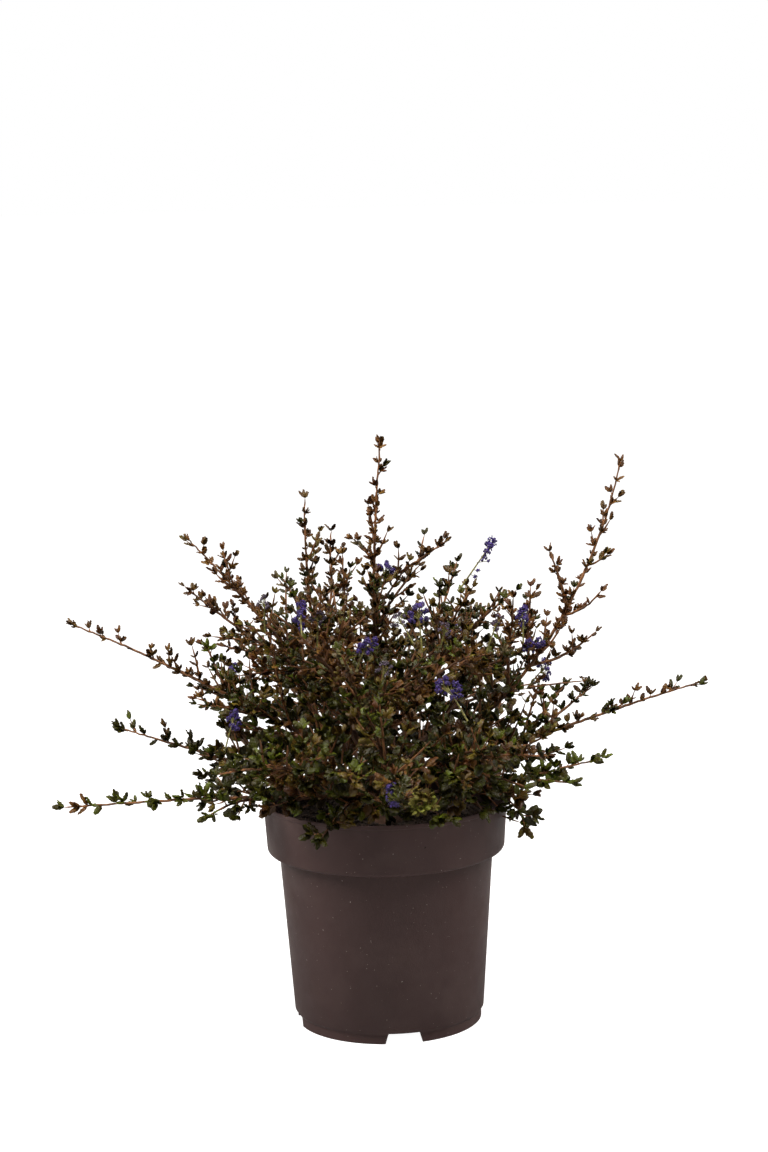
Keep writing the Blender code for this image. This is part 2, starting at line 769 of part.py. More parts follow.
def make_bough(name, leader, plant):
    last = bough_end(leader)
    places, radii = leader.points(0.0, last, last * leader.length / (BOUGH_POINTS - 1))
    bough = tube("bough_" + name, places, radii, plant, 1)
    bough.data.materials.append(material(bough.name + "_finish", "bark"))
    smooth(bough.data, 40.0)
    return bough


def main():
    for obj in list(bpy.data.objects):
        bpy.data.objects.remove(obj)
    plant = new_collection("california_lilac")
    cutters = new_collection("cutters")
    make_pot(plant, cutters)
    make_compost(plant)
    stem = make_stem(plant)
    head = BVHTree.FromObject(stem, bpy.context.evaluated_depsgraph_get())
    section = twig_section(cutters)
    plans = {name: plan_mass(name, head) for name in MASSES}
    spaces = Spaces(plans)
    homes = {}
    for place in BLOSSOMS:
        at = Vector(place)
        home = max(plans, key=lambda name: spaces.room(name, at))
        homes.setdefault(home, []).append(at)
    for name, shoots in plans.items():
        make_bough(name, shoots[0], plant)
        mass = Mass(name, shoots, spaces, section)
        growth = mass.grow(plant)
        for place in homes.get(name, ()):
            mass.blossom(place)
        fuse("foliage_" + name, growth, mass.pieces, plant)


main()
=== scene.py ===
"""Looks of the potted california lilac: bark, twigs, leaves, blossom, compost and moulded pot.

Metres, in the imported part's frame. The crown grows on from the same limbs as the part's solids, by
the same seeded rule, carried on to finer twigs, whorls of small leaves and single flowers. Where a
name holds the two ends of a draw, they are the least and the most.
"""
import json
import math
import random

import bmesh
import bpy
import numpy as np
from mathutils import Matrix, Vector

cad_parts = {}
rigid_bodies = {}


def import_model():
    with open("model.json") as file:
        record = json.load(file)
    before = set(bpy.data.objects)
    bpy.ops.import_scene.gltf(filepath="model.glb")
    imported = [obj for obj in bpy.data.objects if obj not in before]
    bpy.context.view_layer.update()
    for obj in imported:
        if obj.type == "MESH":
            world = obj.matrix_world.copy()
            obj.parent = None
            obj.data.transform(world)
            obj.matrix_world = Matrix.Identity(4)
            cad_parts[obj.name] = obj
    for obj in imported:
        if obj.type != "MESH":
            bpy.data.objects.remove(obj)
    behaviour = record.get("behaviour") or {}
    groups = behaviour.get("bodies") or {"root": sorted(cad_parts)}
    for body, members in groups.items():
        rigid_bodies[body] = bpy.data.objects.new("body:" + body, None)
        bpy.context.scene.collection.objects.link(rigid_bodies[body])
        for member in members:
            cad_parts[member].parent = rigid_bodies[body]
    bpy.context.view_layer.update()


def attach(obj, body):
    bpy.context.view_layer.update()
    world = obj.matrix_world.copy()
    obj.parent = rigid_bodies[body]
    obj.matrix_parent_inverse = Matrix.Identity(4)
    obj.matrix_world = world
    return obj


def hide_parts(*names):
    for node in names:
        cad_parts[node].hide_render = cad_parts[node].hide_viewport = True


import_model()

UP = Vector((0.0, 0.0, 1.0))
MERGE = 0.00001

# Pot, as the solids have it
POT_HEIGHT = 0.1768
RIM_RADIUS = 0.0950
BAND_HEIGHT = 0.0406
BAND_FOOT_RADIUS = 0.0919
BODY_TOP_RADIUS = 0.0827
BODY_FOOT_RADIUS = 0.0737
FOOT_RADIUS = 0.0717
FOOT_HEIGHT = 0.0070
FOOT_CHAMFER = 0.0030
FOOT_SKIRT = 0.0030
WALL = 0.0016
FLOOR_UNDERSIDE = 0.0100
NOTCH_COUNT = 4
NOTCH_BEARING = -81.3
NOTCH_HEIGHT = 0.0085
NOTCH_FOOT_WIDTH = 0.0340
NOTCH_TOP_WIDTH = 0.0240
DRAIN_COUNT = 6
DRAIN_RADIUS = 0.0050
DRAIN_RING = 0.0450

# Its moulding: sides, roundings, and small steps in the outer face, each inwards or outwards and down
POT_SIDES = 144
POT_CREASE = math.radians(32.0)
LIP_ROUNDING = 0.0007
BAND_ROUNDING = 0.0028
LIP_FOOT = (0.0001, 0.0030)
LIP_GROOVE = (0.0009, 0.0036)
SHOULDER = (0.0010, 0.0012)
FOOT_GROOVE = (0.0004, 0.0006)
FOOT_EDGE = 0.0004

# Compost: its face, the swells on it, and loose crumbs
COMPOST_TOP = 0.1580
COMPOST_GAP = 0.0004
COMPOST_RINGS = 34
COMPOST_SIDES = 120
COMPOST_SUNK = 0.0008
SWELLS = 12
SWELL_HEIGHT = 0.0011
SWELL_PITCH = 60.0
SWELL_FINER = 38.0
SWELL_ROUGHNESS = (-0.0005, 0.0005)
CALM_RADIUS = 0.012
CALM_FADE = 0.010
CRUMBS = 900
CRUMB_SIZE = (0.0009, 0.0030)
CRUMB_RING = (0.03, 0.94)
CRUMB_LENGTHS = (1.0, 1.0, 2.2)

# Stem and limbs, as the solids have them
STEM_FOOT = COMPOST_TOP + 0.0003
STEM_PROFILE = ((0.0, 0.0125), (0.002, 0.0104), (0.006, 0.0083), (0.010, 0.0082))
STEM_LEAN = 0.04
STEM_UPRIGHT = 0.002
HEAD_LOW = 0.015
HEAD_HIGH = 0.028
HEAD_RADIUS = 0.0093
HEAD_PITCHES = (0.0, 25.0, 50.0, 68.0, 82.0)
LIMB_SUNK = 0.0030
STEEP = math.radians(50.0)
UPRIGHT = math.radians(85.0)
BOUGH_SHARE = 0.26
BOUGH_LONGEST = 0.046
BOUGH_RADIUS = 0.0020
SHOOT_RADIUS = 0.0016
TIP_RADIUS = 0.0006
SWAY = 0.010

# Their bark: rings, sides and depth of relief, and how a bough widens towards its foot
STEM_MESH = (34, 22, 0.06)
BOUGH_MESH = (22, 10, 0.08)
BOUGH_OVERLAP = 0.03
BOUGH_FLARE = 0.5
BOUGH_FLARE_FADE = 30.0

# The dense part of the crown, and how far the furthest tips reach. A depth is 0 at the dome's middle,
# 1 on its face and more outside.
DOME_CENTRE = Vector((-0.009, 0.0, 0.168))
DOME_SIZE = Vector((0.120, 0.124, 0.168))
DOME_POWER = 3.0
DARK_DEPTH = 0.66
SKIN_DEPTH = 0.97
CROWD_DEPTH = 1.02
STRAY_DEPTH = 1.05
FRINGE_DEPTH = 1.28
THICKER_DEPTH = 1.45
LOW_FRINGE = 0.205
REACH = Vector((0.2520, 0.2385, 0.4590))
LOWEST = 0.172
LOWEST_DROOPING = 0.148
DROOPING = ("low_right", "front_low")
POT_CLEARANCE = 0.0015
RIM_WIDTH = 0.005

# The seeded rule, carried to finer twigs
TURN = math.radians(137.5)
LIFT = 0.30
LIFT_OUTER = 0.55
FIRST_NODE = 0.05
FIRST_TWIG_NODE = 0.4
LAST_NODE_LEFT = 0.004
NODE_GAP = 0.0066
NODE_GAP_OUTER = 0.0083
NODE_GAP_SPREAD = (0.75, 1.25)
TWIG_STEP = 0.005
LEADER_STEP = 0.0033

# Side twigs: the longest, and the chance of one, on a shoot in the dome, at its skin and far out; then
# on another twig; and the share of the shoot still left that a twig may have
LATERAL_ANGLE = math.radians(52.0)
LATERAL_DOME = (0.060, 0.95)
LATERAL_FRINGE = (0.026, 0.75)
LATERAL_OUTER = (0.013, 0.45)
LATERAL_LEFT = (0.42, 0.006)
LATERAL_SPREAD = (0.45, 1.1)
FINE_LONGEST = 0.026
FINE_CHANCE = 0.50
FINE_CHANCE_SKIN = 0.12
FINE_LEFT = (0.5, 0.003)
FINE_SPREAD = (0.5, 1.1)
TWIG_SHORTEST = 0.006
TWIG_DEPTH = (0.92, 0.34, 1.6)
TWIG_TRIES = 4
TWIG_LIFT = (0.02, 0.26)
TWIG_SWING = (-0.16, 0.16)
LATERAL_RADII = (0.0010, 0.0006)
FINE_RADII = (0.0007, 0.0005)
TWIG_THINNER = 0.75

# A twig's own mesh: sides, waver and swelling
SHOOT_SIDES = 7
TWIG_SIDES = 4
SHOOT_WAVER = 0.00035
TWIG_WAVER = 0.00016
SWELLING = (0.90, 1.16)
TWIG_POINT = 0.4

# How many leaves a small cell of the crown takes, by height
CROWD_CELL = 0.012
CROWD_MOST = 2.6
CROWD_MOST_LOW = 1.8
CROWD_MOST_HIGH = 1.5
CROWD_LOW = 0.250
CROWD_HIGH = 0.310
CROWD_FOR_TWIG = 1.0

# Leaves: how many at a node, how long, how broad and how they stand
WHORL_DARK = (0, 0, 0, 1)
WHORL_DOME = (1, 1, 2, 2, 3)
WHORL_OUTER = (1, 2, 2, 3)
WHORL_TURN = 2.4
WHORL_SPREAD = (0.6, 1.35)
LEAF_USUAL = 0.0095
LEAF_HIGH = 0.0063
LEAF_LOW = 0.0108
LEAF_LOW_FROM = 0.32
LEAF_LOW_FADE = 0.13
LEAF_LENGTH = (0.76, 1.28)
LEAF_WIDTH = (0.42, 0.64)
STRAY_LENGTH = (0.0045, 0.0085)
STRAY_WIDTH = (0.32, 0.54)
STRAY_LOW_FROM = 0.25
STRAY_LOW_FADE = 0.05
STRAY_LOW_LONGER = 0.40
LEAF_ANGLE = math.radians(55.0)
LEAF_PLANE = Vector((0.25, -0.20, 1.0))
LEAF_TILT = (-1.1, 1.1)

# A stray shoot's node: the chance that it is bare or has a single leaf, or else a spur with a tuft
BARE_CHANCE = 0.05
SINGLE_CHANCE = 0.26
SPUR_LENGTH = (0.0008, 0.0034)
SPUR_ANGLE = (0.8, 1.3)
SPUR_SPREAD = 1.35
TUFT_LEAVES = (3, 4, 4, 5)
TUFT_SMALLER = 0.9
TUFT_SPREAD = (0.2, 0.85)

# A leaf's form, of unit length and width: stations along it, and the places across each station
LEAF_TEMPLATES = 9
LEAF_STATIONS = (0.14, 0.28, 0.42, 0.57, 0.72, 0.88)
LEAF_FOOT = 0.035
LEAF_END = 0.96
LEAF_FULLNESS = 0.75
DROOP = (0.10, 0.34)
DROOP_AT_TIP = 1.05
ROLL = (0.08, 0.22)
BROADEST = (0.02, 0.14)
HALF_BLADE = 0.55
BLADE_RISE = 0.085
RISE = 1.6
QUILTING = (-0.025, 0.05)
TEETH = (0.90, 1.12)
TOOTH_SPREAD = (-0.05, 0.05)
TOOTH_LEAN = 0.06
CRINKLE = (-0.03, 0.03)

# Each bough's mass: its leading shoot, then the shoots that fork from that. A shoot has the place of
# its tip in millimetres, its bow as a share of its length, up being positive, and, where it forks,
# the share of the leading shoot at its fork.
MASSES = {
    "top": ((2, 0, 450, 0.025), (50, -10, 376, -0.01, 0.57), (-20, 4, 377, 0.04, 0.65),
            (-6, -30, 352, 0.04, 0.42), (30, 12, 354, 0.04, 0.44)),
    "top_left": ((-55, -34, 415, -0.09), (-37, 16, 382, -0.08, 0.45), (-28, -35, 372, -0.06, 0.40),
                 (-52, -60, 346, 0.03, 0.36), (-74, -10, 350, 0.03, 0.40)),
    "high_left": ((-146, 20, 376, 0.028), (-152, 35, 338, -0.02, 0.42), (-119, -4, 372, -0.08, 0.74),
                  (-90, -30, 330, 0.02, 0.30)),
    "far_left": ((-236, 0, 316, 0.028), (-140, -45, 266, -0.03, 0.38), (-134, 12, 294, -0.04, 0.50),
                 (-146, 20, 262, 0.02, 0.34)),
    "left": ((-206, 30, 228, -0.012), (-120, 62, 215, 0.02, 0.40)),
    "low_left": ((-243, -45, 184, 0.015), (-133, -62, 179, 0.06, 0.36)),
    "high_right": ((185, 10, 432, -0.11), (167, -20, 337, -0.08, 0.60), (166, 22, 298, -0.08, 0.45),
                   (129, -6, 366, 0.04, 0.62), (172, 6, 361, -0.12, 0.74), (100, -34, 336, 0.04, 0.36),
                   (116, 24, 334, 0.04, 0.44)),
    "crest_right": ((105, 20, 332, 0.10), (70, -20, 342, 0.04, 0.45), (60, 40, 352, 0.03, 0.40),
                    (120, -40, 300, 0.02, 0.36), (85, -6, 322, 0.05, 0.42), (78, -50, 296, 0.06, 0.30)),
    "far_right": ((246, 0, 261, 0.012), (162, 15, 256, 0.02, 0.46), (141, 20, 256, 0.02, 0.42),
                  (184, -10, 247, -0.04, 0.68)),
    "low_right": ((165, -40, 212, -0.02), (141, -46, 194, 0.05, 0.45), (105, -50, 163, 0.16, 0.50),
                  (127, -30, 230, 0.03, 0.36), (98, -72, 190, 0.06, 0.34), (100, -52, 176, 0.12, 0.40)),
    "front_low": ((-48, -108, 171, 0.10), (48, -106, 184, 0.06, 0.42), (0, -116, 196, 0.08, 0.36),
                  (-86, -82, 190, 0.06, 0.40)),
    "front_left": ((-120, -150, 232, 0.05), (-62, -122, 236, 0.04, 0.34), (-98, -92, 214, 0.05, 0.30),
                   (-20, -135, 222, 0.04, 0.30)),
    "front_right": ((118, -150, 240, 0.05), (78, -102, 236, 0.04, 0.34), (104, -78, 200, 0.05, 0.30),
                    (60, -128, 214, 0.05, 0.30), (72, -90, 186, 0.10, 0.26)),
    "front": ((12, -233, 226, 0.06), (-12, -118, 268, 0.03, 0.28)),
    "front_top": ((-30, -100, 308, 0.03), (40, -84, 308, 0.03, 0.42), (4, -110, 290, 0.03, 0.36),
                  (-62, -82, 322, 0.02, 0.40), (68, -66, 300, 0.05, 0.34)),
    "back_top": ((30, 98, 312, 0.03), (-42, 92, 306, 0.03, 0.42), (-10, 52, 345, 0.02, 0.40),
                 (74, 80, 306, 0.03, 0.36)),
    "back": ((-10, 233, 252, 0.05), (20, 126, 236, 0.03, 0.36)),
    "back_left": ((-128, 150, 280, 0.03), (-85, 116, 232, 0.03, 0.40)),
    "back_right": ((126, 152, 284, 0.03), (118, 78, 246, 0.03, 0.40)),
    "back_low": ((75, 150, 192, 0.06), (-50, 128, 190, 0.06, 0.42), (10, 120, 186, 0.06, 0.36),
                 (-90, 90, 190, 0.06, 0.40)),
}

# Which masses share a joined piece
CROWN_PARTS = {
    "top": ("top", "top_left", "crest_right", "front_top", "back_top"),
    "left": ("high_left", "far_left", "left", "low_left"),
    "right": ("high_right", "far_right", "low_right"),
    "front": ("front_low", "front_left", "front_right", "front"),
    "back": ("back", "back_left", "back_right", "back_low"),
}

# A rosette of young leaves, and a bare old flower stalk with a few scales near its end, on the masses
# that bear them; places in millimetres
ROSETTE_MASS = "front_low"
ROSETTE_PLACE = (28, -113, 198.5)
ROSETTE_LEAF = 0.0062
ROSETTE_TIPS = 8
ROSETTE_LEAVES = 7
ROSETTE_SPACING = 0.0029
ROSETTE_OPENING = (25.0, 10.0)
ROSETTE_SPREAD = (0.75, 1.25)
ROSETTE_KIND = 6
STALK_MASS = "far_right"
STALK_ENDS = ((111, -22, 264.4), (155, -22, 268.6))
STALK_SCALES = ((0.004, 0.0036), (0.001, 0.0026), (0.012, 0.0030))
SCALES_ROUND = 4
SCALE_LENGTH = 0.7
SCALE_KIND = 1

# Heads of blossom in millimetres, the first of them alone on a long stalk with side buds, and the
# heads that have faded
BLOSSOMS = ((82.5, -30, 374.5), (-60, -60, 331), (-11, -90, 313), (27.5, -70, 333), (107, -40, 324),
            (115, -45, 302), (47, -110, 284), (-112, -60, 253), (6, -190, 223.2), (60, 110, 285),
            (-52, 115, 272), (128, 60, 262), (-118, 70, 262), (5, 60, 344))
LONE_FOOT = (59.1, -30, 341.5)
LONE_BUDS = (((72.8, -30, 362.5), (81.9, -30, 363.6)), ((69, -30, 357), (73.7, -30, 356.9)),
             ((67.2, -30, 354), (71.5, -30, 351.9)))
FADED = ((-88, -30, 336), (-47, -50, 328), (13, -50, 325), (48, -50, 316), (87, -50, 320.5),
         (2, -100, 297), (-30, 98, 320))

# A head: an arch of round clusters of florets round the end of its stalk, and buds below
CLUSTER = 0.0022
CLUSTER_SPREAD = (0.95, 1.18)
FADED_SPREAD = (0.75, 0.95)
CLUSTERS = (10, 11, 12)
CLUSTERS_FADED = (5, 6)
SIZE_SPREAD = (0.65, 1.15)
CLUSTER_STRAY = (-0.9, 0.9)
ARCH_REACH = (2.1, 3.0)
ARCH_FROM = (-150.0, -80.0)
ARCH_ANGLE = 290.0
ARCH_SUNK = 0.2
ARCH_TWIST = (-0.5, 0.5)
FLORETS = 10
FLORETS_FADED = 5
FLORET = 0.00088
FLORET_SPREAD = (0.70, 1.25)
FLORET_PLACE = (0.50, 1.15)
FLORET_BAND = 1.9
OPEN_CHANCE = 0.4
STALK_BELOW = 0.020
STALK_RISE = 0.15
STALK_POINTS = 9
STALK_RADII = (0.00075, 0.0004)
STALK_SIDES = 5
FINE_STALK_RADIUS = 0.00035
BUD_STALK_RADIUS = 0.0003
FINE_STALK_SIDES = 3
BUDS = 3
BUD_CLUSTER = 0.0011
BUD_FLORETS = 5
BUD_ASIDE = (0.003, 0.006)
BUD_DROP = 0.001
PETALS = 5
PETAL_FORM = ((0.55, 0.0, 0.35), (1.15, 0.42, 0.75), (1.65, 0.0, 0.45), (1.15, -0.42, 0.75))
BEAD_TOP = 0.8
BEAD_MOUTH = 0.35

# Leaf colours: name, base colour, roughness, and the share of sprays that have it; then what the low
# sprays and the stray shoots mostly have. The low sprays' greens, dark green most, are partly the
# leaves' own hue there and partly painted shade that darkens the low crown
LEAF_KINDS = (
    ("dark_green", (0.029, 0.028, 0.004), 0.20, 0.30),
    ("bronze", (0.063, 0.030, 0.006), 0.24, 0.25),
    ("olive", (0.080, 0.052, 0.008), 0.26, 0.19),
    ("brown", (0.105, 0.045, 0.010), 0.28, 0.16),
    ("grey_green", (0.098, 0.080, 0.034), 0.32, 0.03),
    ("fresh_green", (0.056, 0.062, 0.006), 0.24, 0.07),
    ("young_green", (0.170, 0.155, 0.030), 0.36, 0.0),
)
# Mostly dark green low down: the greens' own hue, and also painted shade that darkens the low crown
LOW_GREENS_AND_SHADE = (0, 0, 0, 2, 5)
LOW_GREENS_AND_SHADE_BELOW = 0.265
LOW_GREENS_AND_SHADE_CHANCE = 0.70
STRAY_BROWNS = (1, 3, 3)
STRAY_BROWNS_CHANCE = 0.6
LEAF_SHADE = (0.60, 0.42, 0.45)
LEAF_LIGHT = (1.55, 1.90, 1.45)

# Other finishes: barks as pale and dark colour and roughness, petals as one colour, then the tones of
# compost and pot
OLD_BARK = ((0.170, 0.090, 0.052), (0.055, 0.028, 0.018), 0.75)
YOUNG_BARK = ((0.235, 0.102, 0.036), (0.078, 0.033, 0.014), 0.5)
GROWN_BARK = ((0.110, 0.050, 0.022), (0.040, 0.019, 0.010), 0.6)
INDIGO = (0.028, 0.012, 0.115)
FADED_INDIGO = (0.055, 0.038, 0.062)
STALK_GREEN = (0.130, 0.120, 0.026)
COMPOST_TONES = ((0.30, (0.010, 0.006, 0.004)), (0.52, (0.034, 0.021, 0.013)),
                 (0.72, (0.085, 0.056, 0.036)))
POT_TONES = ((0.30, (0.0506, 0.0276, 0.0260)), (0.70, (0.0660, 0.0374, 0.0352)))
POT_DUST = (0.140, 0.096, 0.087, 1.0)
POT_SPECKS = (0.230, 0.185, 0.170, 1.0)

# Camera, floor and lights
CAMERA_BACK = 2.2279
CAMERA_HEIGHT = 0.7278
CAMERA_PITCH = 0.1685
CAMERA_YAW = 0.0013
CAMERA_ROLL = -0.0216
CAMERA_LENS = 92.48
FLOOR_RADIUS = 14.0
FLOOR_COLOUR = (0.34, 0.34, 0.34, 1.0)
FLOOR_GLOW = 0.06
ROOM_COLOUR = (1.0, 0.95, 0.92, 1.0)
ROOM_SPAN = (-0.6, 0.9)
ROOM_STRENGTH = (0.03, 0.36)
WHITE = (1.0, 1.0, 1.0, 1.0)
LIGHT_TARGET = (0.0, 0.0, 0.22)
LIGHT_COLOUR = (1.0, 0.945, 0.905)
LIGHTS = (
    ("left_box", (-1.3, -0.25, 1.45), (0.8, 1.0), 40.0),
    ("right_box", (1.3, -0.10, 1.45), (0.8, 1.0), 28.0),
    ("top_box", (0.0, -0.70, 1.95), (0.7, 0.5), 30.0),
    ("front_fill", (0.0, -2.2, 1.4), (1.6, 1.0), 1.0),
)


# Plain tools

def metres(place):
    """A place given in millimetres."""
    return Vector([value / 1000.0 for value in place])


def new_material(name):
    made = bpy.data.materials.new(name)
    made.use_nodes = True
    tree = made.node_tree
    return made, tree, tree.nodes["Principled BSDF"]


def add_node(tree, kind, **values):
    node = tree.nodes.new(kind)
    for name, value in values.items():
        node.inputs[name].default_value = value
    return node


def noise(tree, scale, detail, stretch=None):
    """A noise in the object's own coordinates, drawn out along an axis where stretch says."""
    vector = tree.nodes.new("ShaderNodeTexCoord").outputs["Object"]
    if stretch:
        turn = add_node(tree, "ShaderNodeMapping", Scale=stretch)
        tree.links.new(vector, turn.inputs["Vector"])
        vector = turn.outputs["Vector"]
    found = add_node(tree, "ShaderNodeTexNoise", Scale=scale, Detail=detail)
    tree.links.new(vector, found.inputs["Vector"])
    return found.outputs["Fac"]


def ramp(tree, source, stops):
    """Colours by a value: stops are (place, colour), or (place, grey)."""
    made = tree.nodes.new("ShaderNodeValToRGB")
    elements = made.color_ramp.elements
    while len(elements) < len(stops):
        elements.new(0.5)
    for element, (place, colour) in zip(elements, stops):
        element.position = place
        element.color = (*(colour if isinstance(colour, tuple) else (colour,) * 3), 1.0)
    tree.links.new(source, made.inputs["Fac"])
    return made.outputs["Color"]


def bump(tree, shader, height, distance, strength):
    node = add_node(tree, "ShaderNodeBump", Strength=strength, Distance=distance)
    tree.links.new(height, node.inputs["Height"])
    tree.links.new(node.outputs["Normal"], shader.inputs["Normal"])


def scaled(colour, *factors):
    """A colour times one factor, or times a factor for each channel."""
    return tuple(channel * factor for channel, factor in zip(colour, factors * (3 // len(factors))))


def mesh_from_arrays(name, verts, faces, kinds):
    """A mesh from vertex places and from faces that all have the same number of corners."""
    verts = np.asarray(verts, np.float32)
    faces = np.asarray(faces, np.int32)
    count, corners = faces.shape
    mesh = bpy.data.meshes.new(name)
    mesh.vertices.add(len(verts))
    mesh.vertices.foreach_set("co", verts.ravel())
    mesh.loops.add(count * corners)
    mesh.loops.foreach_set("vertex_index", faces.ravel())
    mesh.polygons.add(count)
    mesh.polygons.foreach_set("loop_start", np.arange(0, count * corners, corners, dtype=np.int32))
    mesh.polygons.foreach_set("loop_total", np.full(count, corners, np.int32))
    mesh.polygons.foreach_set("material_index", np.asarray(kinds, np.int32))
    mesh.update(calc_edges=True)
    mesh.shade_smooth()
    return mesh


def mesh_from_bmesh(name, bm):
    mesh = bpy.data.meshes.new(name)
    bm.to_mesh(mesh)
    bm.free()
    return mesh


def ball():
    """The corners and faces of a coarse ball of unit radius."""
    bm = bmesh.new()
    bmesh.ops.create_icosphere(bm, subdivisions=1, radius=1.0)
    corners = [vert.co.copy() for vert in bm.verts]
    faces = np.array([[vert.index for vert in face.verts] for face in bm.faces])
    bm.free()
    return corners, faces


def linked(name, data):
    obj = bpy.data.objects.new(name, data)
    bpy.context.scene.collection.objects.link(obj)
    return obj


def piece(name, mesh, materials, nodes):
    """A visible piece that stands for CAD nodes and takes its finish from a slot."""
    obj = linked(name, mesh)
    for made in materials:
        mesh.materials.append(made)
    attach(obj, "root")
    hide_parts(*nodes)


class Joined:
    """Many small meshes of like faces, gathered into one."""

    def __init__(self):
        self.verts = []
        self.faces = []
        self.kinds = []
        self.count = 0

    def add(self, verts, faces, kind=0):
        """One more mesh, whose faces have one kind of material or each its own."""
        self.verts.append(verts)
        self.faces.append(faces + self.count)
        self.kinds.append(np.broadcast_to(kind, len(faces)))
        self.count += len(verts)

    def mesh(self, name):
        return mesh_from_arrays(name, np.concatenate(self.verts), np.concatenate(self.faces),
                                np.concatenate(self.kinds))


# Shoots and twigs

def bowed(start, tip, bow, seed):
    """A shoot as a function of its share of length: bowed between its ends and swaying a little."""
    chord = tip - start
    side = chord.cross(UP)
    if side.length < 0.1 * chord.length:
        side = Vector((0.0, -1.0, 0.0))
    side.normalize()
    rise = side.cross(chord).normalized()
    phase = random.Random(seed).uniform(0.0, 2.0 * math.pi)

    def place(share):
        hump = 4.0 * share * (1.0 - share)
        wave = SWAY * math.sin(3.0 * math.pi * share + phase)
        return start + chord * share + chord.length * hump * (bow * rise + wave * side)

    return place


class Shoot:
    """A shoot or twig: its way, its length, its radius along the way, and 0 for a main shoot."""

    def __init__(self, way, length, radii, order):
        self.way = way
        self.length = length
        self.radii = radii
        self.order = order

    def radius(self, share):
        return self.radii[0] + (self.radii[1] - self.radii[0]) * share

    def direction(self, share):
        ahead = min(1.0, share + 0.02)
        return (self.way(ahead) - self.way(ahead - 0.04)).normalized()


def straight_twig(start, end):
    return Shoot(lambda share: start.lerp(end, share), (end - start).length, FINE_RADII, 2)


def stem_axis(height):
    return Vector((STEM_LEAN * max(0.0, height - STEM_UPRIGHT), 0.0, STEM_FOOT + height))


def head_middle(pitch):
    return HEAD_LOW + min(1.0, pitch / STEEP) * (HEAD_HIGH - HEAD_LOW)


def leading_shoot(name, tip, bow):
    """A shoot whose foot is sunk in the stem's head: low for a low tip, on top for a steep one."""
    out = Vector((tip.x, tip.y, 0.0))
    pitch = math.atan2(tip.z - stem_axis(HEAD_HIGH).z, out.length)
    if pitch < UPRIGHT:
        pitch = min(STEEP, max(0.0, pitch + math.atan(4.0 * bow)))
    out.normalize()
    normal = math.cos(pitch) * out + math.sin(pitch) * UP
    start = stem_axis(head_middle(pitch)) + (HEAD_RADIUS - LIMB_SUNK) * normal
    return Shoot(bowed(start, tip, bow, name), (tip - start).length, (BOUGH_RADIUS, TIP_RADIUS), 0)


def plan_mass(name):
    """The shoots of a mass; the leading one comes first and starts at the stem."""
    (*tip, bow), *forks = MASSES[name]
    leader = leading_shoot(name, metres(tip), bow)
    shoots = [leader]
    for number, (*tip, bow, share) in enumerate(forks):
        start = leader.way(share)
        radius = min(SHOOT_RADIUS, leader.radius(share))
        way = bowed(start, metres(tip), bow, f"{name}_{number}")
        shoots.append(Shoot(way, (metres(tip) - start).length, (radius, TIP_RADIUS), 0))
    return shoots


def depth_in_dome(place):
    away = place - DOME_CENTRE
    total = sum(abs(away[axis] / DOME_SIZE[axis]) ** DOME_POWER for axis in range(3))
    return total ** (1.0 / DOME_POWER)


def within_reach(place):
    return abs(place.x) < REACH.x and abs(place.y) < REACH.y and place.z < REACH.z


def clear_of_pot(place):
    radius = math.hypot(place.x, place.y)
    if radius > RIM_RADIUS + POT_CLEARANCE:
        return True
    lowest = POT_HEIGHT if radius > RIM_RADIUS - RIM_WIDTH else COMPOST_TOP
    return place.z > lowest + POT_CLEARANCE


def how_low(place, start, fade):
    """0 above a height, 1 a way below it."""
    return max(0.0, min(1.0, (start - place.z) / fade))


class Crowd:
    """How many leaves each small cell of the crown holds."""

    def __init__(self):
        self.cells = {}

    def cell(self, place):
        return tuple(int(math.floor(value / CROWD_CELL)) for value in place)

    def held(self, place):
        return self.cells.get(self.cell(place), 0.0)

    def add(self, place, amount):
        cell = self.cell(place)
        self.cells[cell] = self.cells.get(cell, 0.0) + amount


